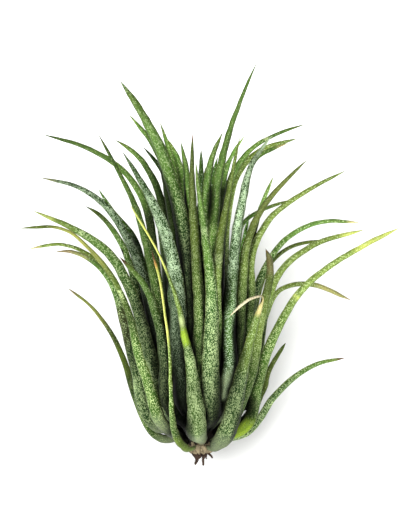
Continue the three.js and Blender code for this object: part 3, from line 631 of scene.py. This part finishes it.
def painted_light_and_shade(look, share, rightward, openness):
    """The light and shade painted into a blade's colour: dark where it is shut in or under other
    leaves.
    """
    clear = np.clip((openness - SHUT_IN) / (OPEN - SHUT_IN), 0, 1)
    clear = clear * clear * (3 - 2 * clear)
    fall = PAINTED_SHADE_FALL * np.maximum(0, read_stops(look.painted_side_shade, share) * rightward)
    return (read_stops(look.light, share) * np.exp(-fall) * (LEAST_LIGHT + OPEN_LIGHT * clear)
            * (1 - PAINTED_EDGE_SHADE * np.abs(AROUND) ** 3))


def build_leaf(node, look, settings, surroundings):
    """One leaf: its blade swept along the node's middle line, tinted and frosted, with light and
    shade painted into its colour.
    """
    rng = np.random.default_rng(sum(ord(c) * (i + 7) for i, c in enumerate(node)))
    detail, colours = settings.leaf_detail, settings.leaf_colours
    blade = Blade(node, detail.sections)
    tint, frost = paint(blade, look, colours, rng)
    rough_left, rough_right, sway = (wander(rng, blade.along, wave, detail.margin_wave)
                                     for wave in MARGIN_WAVES)
    breadths = read_stops(look.breadth, blade.share)
    blade.middle[:, :2] += read_stops(look.lean, blade.share, 1) * MM
    margin = np.clip((np.abs(AROUND) - 1) / PALE_MARGIN + 1, 0, 1)[:, None]
    pale = np.array(colours.yellow) * MARGIN_TONE
    points, places, tints, frosts, full, rightward = [], [], [], [], [], []
    rings = len(blade.along) - 1
    for i in range(rings):
        breadth = np.linalg.norm(blade.span[i])
        height = np.linalg.norm(blade.rise[i])
        across = blade.span[i] / breadth
        heights = section_heights(height, min(blade.wall[i], THICKEST_WALL * height))
        spine = blade.middle[i] + np.outer(heights, blade.rise[i] / height)
        fine = min(1, breadth / WAVES_IN_FULL)
        rough = np.where(AROUND < 0, rough_left[i], rough_right[i])
        offset = AROUND * (breadth / 2 * breadths[i] + rough * fine) + sway[i] * fine
        points.append(spine + np.outer(offset, across))
        full.append(spine + np.outer(AROUND * breadth / 2 * max(1, breadths[i]), across))
        places.append(np.stack([offset / MM, np.full(SIDES, blade.along[i] / MM), ON_BACK], 1))
        rightward.append(AROUND * np.sign(across[0]))
        # Painted light: the left margin paler and the right darker, as if lit from the left.
        painted_sun_side = 1 - PAINTED_SUN_SIDE * rightward[-1]
        tints.append((tint[i] * (1 - MARGIN_SHARE * margin) + pale * MARGIN_SHARE * margin)
                     * painted_sun_side[:, None])
        frosts.append(frost[i] * np.where(ON_BACK, 1, CHANNEL_FROST))
    points = np.vstack(points + [blade.middle[-1:]])
    points[:, 2] = np.maximum(points[:, 2], 0)
    places = np.vstack(places + [np.array([[0, blade.length / MM, 1]])])
    tints = np.vstack(tints + [tint[-1:]])
    frosts = np.concatenate(frosts + [frost[-1:]])
    # The light and shade painted into the blade's colour: the leaf's own stops, the shadow of
    # neighbours on a margin, how shut in each point is, and the darker margins.
    light = painted_light_and_shade(look, blade.share[:-1, None], np.array(rightward),
                     openness_of(np.array(full), surroundings)).ravel()
    leaf = mesh_object(node.replace("leaf", "blade"), points, sweep_faces(points, SIDES),
                       leaf_material(look.habit, settings))
    mesh = leaf.data
    store(mesh, "place", "FLOAT_VECTOR", places)
    store(mesh, "tint", "FLOAT_COLOR", np.column_stack([tints, np.ones(len(tints))]))
    store(mesh, "frost", "FLOAT", frosts)
    store(mesh, "light", "FLOAT", np.append(light, light[-1]))
    mesh.set_sharp_from_angle(angle=SHARP_EDGE)
    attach(leaf, "root")
    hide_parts(node)


# ---- Materials ----

class Nodes:
    """A short way to lay out shader nodes in a tree."""

    def __init__(self, tree):
        self.tree = tree

    def add(self, kind, **settings):
        node = self.tree.nodes.new("ShaderNode" + kind)
        for key, value in settings.items():
            setattr(node, key, value)
        return node

    def feed(self, socket, value):
        if isinstance(value, bpy.types.NodeSocket):
            self.tree.links.new(value, socket)
        else:
            socket.default_value = value

    def fed(self, node, output, **values):
        """One output of a node whose sockets, named as in its interface, are fed with values."""
        for label, value in values.items():
            self.feed(node.inputs[label], value)
        return node.outputs[output]

    def math(self, operation, a, b=0.0):
        node = self.add("Math", operation=operation)
        self.feed(node.inputs[0], a)
        self.feed(node.inputs[1], b)
        return node.outputs[0]

    def ramp(self, value, low, high, to_low=0.0, to_high=1.0):
        node = self.add("MapRange", interpolation_type="SMOOTHSTEP")
        for i, v in enumerate((value, low, high, to_low, to_high)):
            self.feed(node.inputs[i], v)
        return node.outputs[0]

    def mix(self, share, a, b, blend="MIX"):
        node = self.add("Mix", data_type="RGBA", blend_type=blend)
        self.feed(node.inputs[0], share)
        self.feed(node.inputs[6], a)
        self.feed(node.inputs[7], b)
        return node.outputs[2]

    def times(self, tone, factors):
        return self.mix(1.0, tone, (*factors, 1), "MULTIPLY")

    def grey(self, value):
        node = self.add("CombineColor")
        for socket in node.inputs:
            self.feed(socket, value)
        return node.outputs[0]

    def stretched(self, vector, scale):
        node = self.add("VectorMath", operation="MULTIPLY")
        self.feed(node.inputs[0], vector)
        self.feed(node.inputs[1], scale)
        return node.outputs[0]

    def noise(self, vector, scale=1.0, detail=2.0, roughness=0.5):
        return self.fed(self.add("TexNoise"), "Fac", Vector=vector, Scale=scale, Detail=detail,
                        Roughness=roughness)

    def bump(self, height, strength, distance):
        return self.fed(self.add("Bump"), 0, Height=height, Strength=strength, Distance=distance)


def group_with(name, inputs, outputs):
    """A new shader node group with named sockets: (name, kind, default)."""
    tree = bpy.data.node_groups.new(name, "ShaderNodeTree")
    for label, kind, default in inputs:
        socket = tree.interface.new_socket(label, in_out="INPUT", socket_type="NodeSocket" + kind)
        socket.default_value = default
    for label, kind in outputs:
        tree.interface.new_socket(label, in_out="OUTPUT", socket_type="NodeSocket" + kind)
    return tree, tree.nodes.new("NodeGroupInput"), tree.nodes.new("NodeGroupOutput")


# Grains of the leaf skin, in repeats per millimetre across the blade, along it and between its two
# sides. The cells, one to a scale, are in repeats per scale.
VEINS, PATCHES, CLUMPS = (3.2, 0.16, 5), (0.5, 0.22, 5), (1.6, 0.9, 5)
GRAIN, CELLS = (5.5, 3.5, 9), (1.3, 0.6, 9)
PATCHY, CLUMPY = 0.55, 0.35  # how far patches and clumps of scales sway the cover
FADE_IN = 0.06  # how softly scales come in as the cover grows
CROWDED, CROWDING = 0.55, 0.3  # the cover from which scales grow together, and how far
SCALE_CORE, SCALE_EDGE = 0.3, 0.6  # from the middle of a cell
VEIN_LIGHT, VEIN_DARK = (1.5, 1.4, 1.2), (0.5, 0.55, 0.5)
GRAIN_LIGHT, GRAIN_DARK = (1.3, 1.25, 1.2), (0.7, 0.72, 0.7)
WORN_SCALE, WORN = (0.5, 0.58, 0.42), 0.6  # the tone of the most worn scale, and how far it is used
SCALE_COVERS = 0.97  # of the skin under it
SKIN_ROUGHNESS, SCALE_ROUGHNESS = 0.5, 0.35  # the scales' adds to the skin's
VEIN_RELIEF = 0.8  # against the scales'


def frosted_skin():
    """Leaf skin under pale scales, which lie in loose rows along the blade, its colour multiplied
    by the painted light and shade.
    """
    if "Frosted skin" in bpy.data.node_groups:
        return bpy.data.node_groups["Frosted skin"]
    tree, given, result = group_with(
        "Frosted skin",
        [("Place", "Vector", (0, 0, 0)), ("Tint", "Color", (0.1, 0.2, 0.05, 1)),
         ("Frost", "Float", 0.5), ("Scale Color", "Color", (0.7, 0.8, 0.6, 1)),
         ("Scale Size", "Float", 0.3), ("Streaks", "Float", 0.5), ("Light", "Float", 1.0)],
        [("Color", "Color"), ("Roughness", "Float"), ("Height", "Float")])
    n = Nodes(tree)
    place, tint, frost, scale_colour, size, streaks, light = (
        given.outputs[i] for i in range(7))
    veins = n.noise(n.stretched(place, VEINS), detail=3.0, roughness=0.6)
    patches = n.noise(n.stretched(place, PATCHES))
    clumps = n.noise(n.stretched(place, CLUMPS), detail=1.0)
    grain = n.noise(n.stretched(place, GRAIN), roughness=0.6)
    cells = n.add("TexVoronoi", feature="F1")
    n.feed(cells.inputs["Vector"], n.stretched(place, CELLS))
    n.feed(cells.inputs["Scale"], n.math("DIVIDE", 1.0, size))
    chance = n.add("SeparateColor")
    n.feed(chance.inputs[0], cells.outputs["Color"])
    uneven = n.math("ADD", n.math("MULTIPLY", n.math("SUBTRACT", patches, 0.5), PATCHY),
                    n.math("MULTIPLY", n.math("SUBTRACT", clumps, 0.5), CLUMPY))
    cover = n.math("ADD", frost, uneven)
    present = n.ramp(n.math("SUBTRACT", cover, chance.outputs[0]), -FADE_IN, FADE_IN)
    spread = n.math("MULTIPLY", n.ramp(cover, CROWDED, 1.0), CROWDING)
    reach = n.math("SUBTRACT", cells.outputs["Distance"], spread)
    scales = n.math("MULTIPLY", n.ramp(reach, SCALE_CORE, SCALE_EDGE, 1.0, 0.0), present)
    brighter = n.mix(n.math("MULTIPLY", streaks, n.ramp(veins, 0.35, 0.7)), tint,
                     n.times(tint, VEIN_LIGHT))
    darker = n.mix(n.math("MULTIPLY", streaks, n.ramp(veins, 0.5, 0.25)), brighter,
                   n.times(tint, VEIN_DARK))
    skin = n.mix(n.ramp(grain, 0.35, 0.65), n.times(darker, GRAIN_DARK),
                 n.times(darker, GRAIN_LIGHT))
    tone = n.mix(n.math("MULTIPLY", chance.outputs[1], WORN), scale_colour,
                 n.times(scale_colour, WORN_SCALE))
    scaly = n.mix(n.math("MULTIPLY", scales, SCALE_COVERS), skin, tone)
    # The colour is multiplied by the light and shade painted into the blade.
    n.feed(result.inputs[0], n.mix(1.0, scaly, n.grey(light), "MULTIPLY"))
    n.feed(result.inputs[1],
           n.math("ADD", SKIN_ROUGHNESS, n.math("MULTIPLY", scales, SCALE_ROUGHNESS)))
    n.feed(result.inputs[2], n.math("ADD", scales, n.math("MULTIPLY", veins, VEIN_RELIEF)))
    return tree


def new_material(name):
    material = bpy.data.materials.new(name)
    material.use_nodes = True
    material.node_tree.nodes.clear()
    n = Nodes(material.node_tree)
    shader = n.add("BsdfPrincipled")
    output = n.add("OutputMaterial")
    n.feed(output.inputs["Surface"], shader.outputs[0])
    return material, n, shader


SKIN_BUMP, SKIN_SHINE = 0.6, 0.04


def leaf_material(habit, settings):
    """Leaf skin that takes its tint, cover of scales and painted light and shade from the blade's
    attributes.
    """
    name, scale_colour, relative_size, streaks = SKINS[habit]
    if name in bpy.data.materials:
        return bpy.data.materials[name]
    material, n, shader = new_material(name)
    skin = n.add("Group", node_tree=frosted_skin())
    for socket, attribute, output in (("Place", "place", "Vector"), ("Tint", "tint", "Color"),
                                      ("Frost", "frost", "Fac"), ("Light", "light", "Fac")):
        n.feed(skin.inputs[socket], n.add("Attribute", attribute_name=attribute).outputs[output])
    detail = settings.leaf_detail
    n.feed(skin.inputs["Scale Color"], (*getattr(settings.leaf_colours, scale_colour), 1))
    n.feed(skin.inputs["Scale Size"], detail.scale_size * relative_size / MM)
    n.feed(skin.inputs["Streaks"], streaks)
    n.feed(shader.inputs["Base Color"], skin.outputs["Color"])
    n.feed(shader.inputs["Roughness"], skin.outputs["Roughness"])
    n.feed(shader.inputs["Normal"], n.bump(skin.outputs["Height"], SKIN_BUMP, detail.scale_relief))
    n.feed(shader.inputs["Specular IOR Level"], SKIN_SHINE)
    return material


STRINGS, STRING_SCALE, BLOTCH_SCALE = (1, 0.18, 1), 2200, 420  # repeats per metre, across the grain
BLOTCH_TONE, BLOTCH_SHARE, BLOTCH_RELIEF = 1.7, 0.55, 0.6
FIBRE_BUMP, FIBRE_SHINE = 0.8, 0.2


def fibrous(name, base, dark, grain):
    """Dry, stringy plant matter with its grain along the plant."""
    material, n, shader = new_material(name)
    place = n.add("TexCoord").outputs["Object"]
    strings = n.noise(n.stretched(place, STRINGS), STRING_SCALE, 4.0, 0.65)
    blotches = n.noise(place, BLOTCH_SCALE, 3.0, 0.55)
    # The darker tone between the strings is partly grain and partly painted shade between the
    # fibres.
    tone = n.mix(n.ramp(strings, 0.38, 0.62), (*dark, 1), (*base, 1))
    n.feed(shader.inputs["Base Color"],
           n.mix(n.ramp(blotches, 0.45, 0.75, 0.0, BLOTCH_SHARE), tone,
                 (*(c * BLOTCH_TONE for c in base), 1)))
    n.feed(shader.inputs["Roughness"], n.ramp(strings, 0.2, 0.8, 0.95, 0.7))
    relief = n.math("ADD", strings, n.math("MULTIPLY", blotches, BLOTCH_RELIEF))
    n.feed(shader.inputs["Normal"], n.bump(relief, FIBRE_BUMP, grain))
    n.feed(shader.inputs["Specular IOR Level"], FIBRE_SHINE)
    return material


# ---- Stem and roots ----

def on_axis(x, y, above):
    """A place given in millimetres: right of the axis, up the plant, and above the axis."""
    return np.array([AXIS_FOOT[0] + x * MM, AXIS_FOOT[1] + y * MM,
                     AXIS_FOOT[2] + (above + AXIS_RISE * y) * MM])


# Sizes in this section are in millimetres, and turns in radians.

STEM_PROFILE = ((1.7, -0.4), (2.4, 0.4), (3.1, 2), (3.7, 4.5), (3.9, 9), (3.5, 14), (2.6, 17),
                (1.4, 18.6))  # (distance from the axis, height up the plant)
STEM_RINGS, STEM_SIDES = 60, 40
STEM_INSET, STEM_END = 0.12, 0.3  # the stem lies inside its outline, and ends in a low point
RIPPLES, RIPPLE_DEPTH = 7, 0.06  # round the stem
SCAR_SPACING, SCAR_DEPTH = 1.5, 0.09  # the scars of fallen leaves

# Roots: the places they run through, the thickness at the stem, and how many fibres each has.
ROOTS = (
    (((-1.1, 0.6, 0.2), (-1.5, -0.6, 0.3), (-0.8, -1.6, 0.4), (-1.2, -3.3, 0.4)), 1.35, 9),
    (((0.7, 0.4, 0.3), (1.3, -0.7, 0.5), (0.8, -2.0, 0.7), (0.8, -3.45, 0.9)), 1.1, 7),
    (((1.4, 0.5, 0.0), (2.2, -0.5, 0.2), (3.1, -1.6, 0.3)), 1.0, 6),
    (((-0.4, 0.5, -1.0), (-0.6, -0.9, -1.5), (-0.5, -2.4, -2.0)), 0.8, 5),
    (((0.8, 0.5, -1.0), (1.3, -0.7, -1.5), (1.6, -1.9, -1.9)), 0.7, 5),
    (((-0.2, 0.5, 0.8), (-0.1, -0.6, 1.0), (-0.3, -1.7, 1.2)), 1.6, 9),
    (((-0.9, 0.5, 0.5), (-1.1, -0.5, 0.7), (-1.0, -1.3, 0.8)), 1.2, 6),
)
ROOT_STEPS, CORE_SIDES, FIBRE_SIDES = 26, 10, 6
ROOT_TAPER = 0.4  # how much of its thickness a root loses to its end
CORE, CORE_FLAT = 0.72, 0.8  # the core's thickness against the root's, and its height to breadth
WRINKLE_LENGTH, WRINKLE_DEPTH = 0.9, 0.2  # the depth is a share of the root's thickness
FIBRE_TWIST = (-1.2, 1.2)  # for each millimetre along the root
FIBRE_REACH, FIBRE_WIDTH = (0.75, 1.15), (0.6, 1.0)  # against the root's thickness and the fibre's
FIBRE_STOP, FIBRE_END = (15, 26), 0.4  # the step it stops at, and how far it has thinned there

STUBS, STUB_SIDES = 16, 9
STUB_REACH, STUB_STOP, STUB_RADIUS = (0.2, 1.7), (1.0, 1.7), (0.3, 0.5)
STUB_PATH = ((0.9, 0.2), (1.0, -0.4), (1.08, -0.8))  # (share of the reach, height up the plant)
STUB_SPLAY, STUB_TAPER, STUB_LIFT = 1.12, (1, 0.9, 0.7, 0.4), 0.1

FOLDS, FOLD_STEPS, FOLD_SIDES = 48, 9, 8
FOLD_TURN, FOLD_STRAY = 2.39996, (-0.2, 0.2)  # the golden angle from one leaf base to the next
FOLD_REACH, FOLD_FOOT = (2.2, 3.1), (1.5, 2.1)  # distance from the axis, above and at the foot
FOLD_HEIGHT, FOOT_HEIGHT = (0.6, 1.9), (-0.6, -0.1)
FOLD_BULGE, FOLD_RISE, FOLD_DROP = 0.12, 0.5, 0.4
FOLD_WIDTH, FOLD_END, FOLD_FLAT = (0.4, 0.75), 0.5, 0.45

SIDEWAYS = (0.13, 0.2, 1.0)  # a direction that no strand runs in


def turns_round(sides):
    return np.arange(sides) * 2 * math.pi / sides


def build_stem(material):
    """The woody stem, ringed by the scars of fallen leaves."""
    rng = np.random.default_rng(5)
    radii, heights = (np.array(v, dtype=float) for v in zip(*STEM_PROFILE))
    turns = turns_round(STEM_SIDES)
    ripple = wander(rng, turns, 2 * math.pi / RIPPLES, RIPPLE_DEPTH)
    points = []
    for y in np.linspace(heights[0], heights[-1], STEM_RINGS):
        scar = SCAR_DEPTH * (1 - abs(math.sin(y * math.pi / SCAR_SPACING))) ** 2
        rippled = ripple * (0.5 + 0.5 * math.sin(y * 2))
        r = np.interp(y, heights, radii) - STEM_INSET + scar + rippled
        points += [on_axis(r[k] * math.cos(t), y, r[k] * math.sin(t)) for k, t in enumerate(turns)]
    points = np.array(points + [on_axis(0, heights[-1] + STEM_END, 0)])
    stem = mesh_object("woody_stem", points, sweep_faces(points, STEM_SIDES), material)
    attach(stem, "root")
    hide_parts("stem_with_roots")


def strand(path, radii, sides, squash=1.0):
    """Points and faces of a closed, tapering strand along a path."""
    ahead = np.gradient(path, axis=0)
    ahead /= np.linalg.norm(ahead, axis=1)[:, None]
    one = np.cross(ahead, SIDEWAYS)
    one /= np.linalg.norm(one, axis=1)[:, None]
    two = np.cross(ahead, one)
    turns = turns_round(sides)
    rings = [path[i] + radii[i] * (np.outer(np.cos(turns), one[i])
                                   + squash * np.outer(np.sin(turns), two[i]))
             for i in range(len(path))]
    points = np.vstack(rings + [path[-1:] + ahead[-1] * radii[-1]])
    return points, sweep_faces(points, sides)


def build_roots(material, fibre):
    """Dried roots: each a wrinkled core wrapped in fibres of its own."""
    rng = np.random.default_rng(11)
    strands = []
    for places, thickness, fibres in ROOTS:
        line, along = smooth_line(np.array([on_axis(*p) for p in places]), ROOT_STEPS)
        radius = thickness / 2 * MM * (1 - ROOT_TAPER * along / along[-1])
        wrinkles = wander(rng, along, WRINKLE_LENGTH * MM, WRINKLE_DEPTH)
        strands.append(strand(line, radius * (CORE + wrinkles), CORE_SIDES, CORE_FLAT))
        for _ in range(fibres):
            turn = rng.uniform(0, 2 * math.pi) + along / MM * rng.uniform(*FIBRE_TWIST)
            reach = radius * rng.uniform(*FIBRE_REACH)
            off = np.stack([np.cos(turn) * reach, 0 * reach, np.sin(turn) * reach], 1)
            stop = rng.integers(*FIBRE_STOP)
            width = fibre / 2 * rng.uniform(*FIBRE_WIDTH) * np.linspace(1, FIBRE_END, stop)
            strands.append(strand((line + off)[:stop], width, FIBRE_SIDES))
    for _ in range(STUBS):
        turn, reach = rng.uniform(0, 2 * math.pi), rng.uniform(*STUB_REACH)
        x, z = reach * math.cos(turn), reach * math.sin(turn)
        path = (*STUB_PATH, (STUB_SPLAY, -rng.uniform(*STUB_STOP)))
        stub = np.array([on_axis(x * f, y, z * f + STUB_LIFT) for f, y in path])
        radii = rng.uniform(*STUB_RADIUS) * MM * np.array(STUB_TAPER)
        strands.append(strand(stub, radii, STUB_SIDES))
    roots = mesh_object("dried_roots", *joined(strands), material)
    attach(roots, "root")


def build_collar(material):
    """Torn, papery ends of old leaf bases round the foot of the stem."""
    rng = np.random.default_rng(23)
    strands = []
    for k in range(FOLDS):
        turn = k * FOLD_TURN + rng.uniform(*FOLD_STRAY)
        out = np.array([math.cos(turn), math.sin(turn)])
        reach, foot = rng.uniform(*FOLD_REACH), rng.uniform(*FOLD_FOOT)
        height = rng.uniform(*FOLD_HEIGHT)
        places = [(*(out * reach), height + FOLD_RISE),
                  (*(out * (reach + FOLD_BULGE)), height - FOLD_DROP),
                  (*(out * foot), rng.uniform(*FOOT_HEIGHT))]
        line, _ = smooth_line(np.array([on_axis(x, y, z) for x, z, y in places]), FOLD_STEPS)
        width = rng.uniform(*FOLD_WIDTH) * MM * np.linspace(1, FOLD_END, FOLD_STEPS)
        strands.append(strand(line, width, FOLD_SIDES, FOLD_FLAT))
    collar = mesh_object("leaf_base_collar", *joined(strands), material)
    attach(collar, "root")


# ---- Operators ----

def build_group(context, group):
    nodes = sorted(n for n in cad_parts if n.startswith(f"leaf_{group}_"))
    if not nodes:
        raise RuntimeError(f"the frame has no leaf of the group {group}")
    surroundings = Surroundings()
    for i, node in enumerate(nodes):
        unlisted = Look(UNDERSIDE_HABITS[i % len(UNDERSIDE_HABITS)])
        look = LEAVES[group].get(i + 1, unlisted)
        build_leaf(node, look, context.scene.air_plant, surroundings)
    return {"FINISHED"}


class AIRPLANT_OT_front_leaves(bpy.types.Operator):
    """Build the broad frosted leaves at the front of the rosette"""
    bl_idname = "airplant.front_leaves"
    bl_label = "Front leaves"

    def execute(self, context):
        return build_group(context, "front")


class AIRPLANT_OT_left_leaves(bpy.types.Operator):
    """Build the leaves that arch out to the left"""
    bl_idname = "airplant.left_leaves"
    bl_label = "Left leaves"

    def execute(self, context):
        return build_group(context, "left")


class AIRPLANT_OT_heart_leaves(bpy.types.Operator):
    """Build the young upright leaves in the heart of the rosette"""
    bl_idname = "airplant.heart_leaves"
    bl_label = "Heart leaves"

    def execute(self, context):
        return build_group(context, "heart")


class AIRPLANT_OT_right_leaves(bpy.types.Operator):
    """Build the leaves that arch out to the right"""
    bl_idname = "airplant.right_leaves"
    bl_label = "Right leaves"

    def execute(self, context):
        return build_group(context, "right")


class AIRPLANT_OT_under_leaves(bpy.types.Operator):
    """Build the leaves underneath, which bear the plant's weight"""
    bl_idname = "airplant.under_leaves"
    bl_label = "Lowest leaves"

    def execute(self, context):
        return build_group(context, "under")


ROOT_GRAIN_AND_PAINTED_SHADE, COLLAR_GRAIN_AND_PAINTED_SHADE = 0.35, 0.5  # darker tones of the grain against the main tone: the fibres' own grain, and painted shade between the fibres and in the collar's creases
BARK_RELIEF, ROOT_RELIEF, COLLAR_RELIEF = 0.12 * MM, 0.1 * MM, 0.06 * MM


class AIRPLANT_OT_stem_and_roots(bpy.types.Operator):
    """Build the woody stem, the collar of old leaf bases and the dried roots"""
    bl_idname = "airplant.stem_and_roots"
    bl_label = "Stem and roots"

    def execute(self, context):
        stem = context.scene.air_plant.stem
        # Darker tones of the grain, which also stand for painted shade between the fibres.
        dark = tuple(c * ROOT_GRAIN_AND_PAINTED_SHADE for c in stem.root)
        collar_tones_and_shade = tuple(c * COLLAR_GRAIN_AND_PAINTED_SHADE for c in stem.collar)
        build_stem(fibrous("Woody stem", tuple(stem.bark_and_painted_shade), dark, BARK_RELIEF))
        build_roots(fibrous("Dried root", tuple(stem.root), dark, ROOT_RELIEF), stem.fibre)
        build_collar(fibrous("Papery collar", tuple(stem.collar), collar_tones_and_shade, COLLAR_RELIEF))
        return {"FINISHED"}


class AIRPLANT_OT_stage(bpy.types.Operator):
    """Lay the surface, hang the lights and set the camera above the plant"""
    bl_idname = "airplant.stage"
    bl_label = "Surface, lights and camera"

    def execute(self, context):
        stage = context.scene.air_plant.stage
        lay_surface(stage)
        light_softly(context.scene, stage)
        aim_camera(context.scene, stage)
        return {"FINISHED"}


# The stage is in metres.
SURFACE_REACH, SURFACE_BOTTOM, SURFACE_TOP = 1.2, -0.004, -0.0002
SURFACE_ROUGHNESS, MOTTLE_SCALE, MOTTLE, MOTTLE_TONE = 0.85, 30, 0.02, (0.8, 0.8, 0.8, 1)
LIGHTS = (("key", (-0.33, 0.3, 1.0), 1.0, 1.0),  # (name, place, size, share of the key light)
          ("kicker", (0.55, -0.35, 0.7), 0.5, 0.12))
FILM_HEIGHT, FOCUS_HEIGHT, FARTHEST = 24, 0.022, 20  # the film in mm
AIMED_AT = (-0.25 * MM, 1.0 * MM)


def lay_surface(stage):
    material, n, shader = new_material("Pale surface")
    mottle = n.noise(n.add("TexCoord").outputs["Object"], MOTTLE_SCALE, 3.0)
    n.feed(shader.inputs["Base Color"],
           n.mix(n.ramp(mottle, 0.3, 0.7, 0.0, MOTTLE), (*stage.surface, 1), MOTTLE_TONE))
    n.feed(shader.inputs["Roughness"], SURFACE_ROUGHNESS)
    reach = SURFACE_REACH
    corners = [(x, y, z) for z in (SURFACE_BOTTOM, SURFACE_TOP) for x, y in
               ((-reach, -reach), (reach, -reach), (reach, reach), (-reach, reach))]
    faces = [(0, 3, 2, 1), (4, 5, 6, 7)] + [(i, (i + 1) % 4, (i + 1) % 4 + 4, i + 4)
                                            for i in range(4)]
    mesh_object("surface", np.array(corners), faces, material)


def light_softly(scene, stage):
    world = bpy.data.worlds.new("Soft surroundings")
    world.use_nodes = True
    white, strength = world.node_tree.nodes["Background"].inputs[:2]
    white.default_value = (1, 1, 1, 1)
    strength.default_value = stage.fill
    scene.world = world
    for name, place, size, share in LIGHTS:
        data = bpy.data.lights.new(name, "AREA")
        data.shape = "DISK"
        data.size = size
        data.energy = stage.key * share
        lamp = bpy.data.objects.new(name, data)
        lamp.location = place
        x, y, z = place
        lamp.rotation_euler = (math.atan2(math.hypot(x, y), z), 0, math.atan2(x, -y))
        scene.collection.objects.link(lamp)
    scene.view_settings.view_transform = "Standard"


def aim_camera(scene, stage):
    """Straight down, with the leaf tips at the top of the picture."""
    data = bpy.data.cameras.new("camera")
    camera = bpy.data.objects.new("camera", data)
    data.sensor_fit = "VERTICAL"
    data.sensor_height = FILM_HEIGHT
    data.lens = FILM_HEIGHT * (stage.height - FOCUS_HEIGHT) / stage.framed
    data.clip_end = FARTHEST
    camera.location = (*AIMED_AT, stage.height)
    scene.collection.objects.link(camera)
    scene.camera = camera


class AIRPLANT_PT_panel(bpy.types.Panel):
    """The air plant's pieces and what can be changed on them"""
    bl_label = "Air Plant"
    bl_idname = "AIRPLANT_PT_panel"
    bl_space_type = "VIEW_3D"
    bl_region_type = "UI"
    bl_category = "Air Plant"

    def draw(self, context):
        plant = context.scene.air_plant
        for group in (plant.leaf_colours, plant.leaf_detail, plant.stem, plant.stage):
            box = self.layout.box()
            for key in group.__annotations__:
                box.prop(group, key)
        for operator in OPERATORS:
            self.layout.operator(operator.bl_idname)


class PlantSettings(bpy.types.PropertyGroup):
    """Everything on the air plant that a user may change."""
    leaf_colours: PointerProperty(type=LeafColours)
    leaf_detail: PointerProperty(type=LeafDetail)
    stem: PointerProperty(type=StemSettings)
    stage: PointerProperty(type=StageSettings)


OPERATORS = (
    AIRPLANT_OT_stage,
    AIRPLANT_OT_stem_and_roots,
    AIRPLANT_OT_under_leaves,
    AIRPLANT_OT_heart_leaves,
    AIRPLANT_OT_left_leaves,
    AIRPLANT_OT_right_leaves,
    AIRPLANT_OT_front_leaves,
)
CLASSES = (LeafColours, LeafDetail, StemSettings, StageSettings, PlantSettings, *OPERATORS,
           AIRPLANT_PT_panel)


def register():
    for cls in CLASSES:
        bpy.utils.register_class(cls)
    bpy.types.Scene.air_plant = PointerProperty(type=PlantSettings)


def unregister():
    del bpy.types.Scene.air_plant
    for cls in reversed(CLASSES):
        bpy.utils.unregister_class(cls)


def main():
    register()
    for operator in OPERATORS:
        family, name = operator.bl_idname.split(".")
        getattr(getattr(bpy.ops, family), name)()


if __name__ == "__main__":
    main()
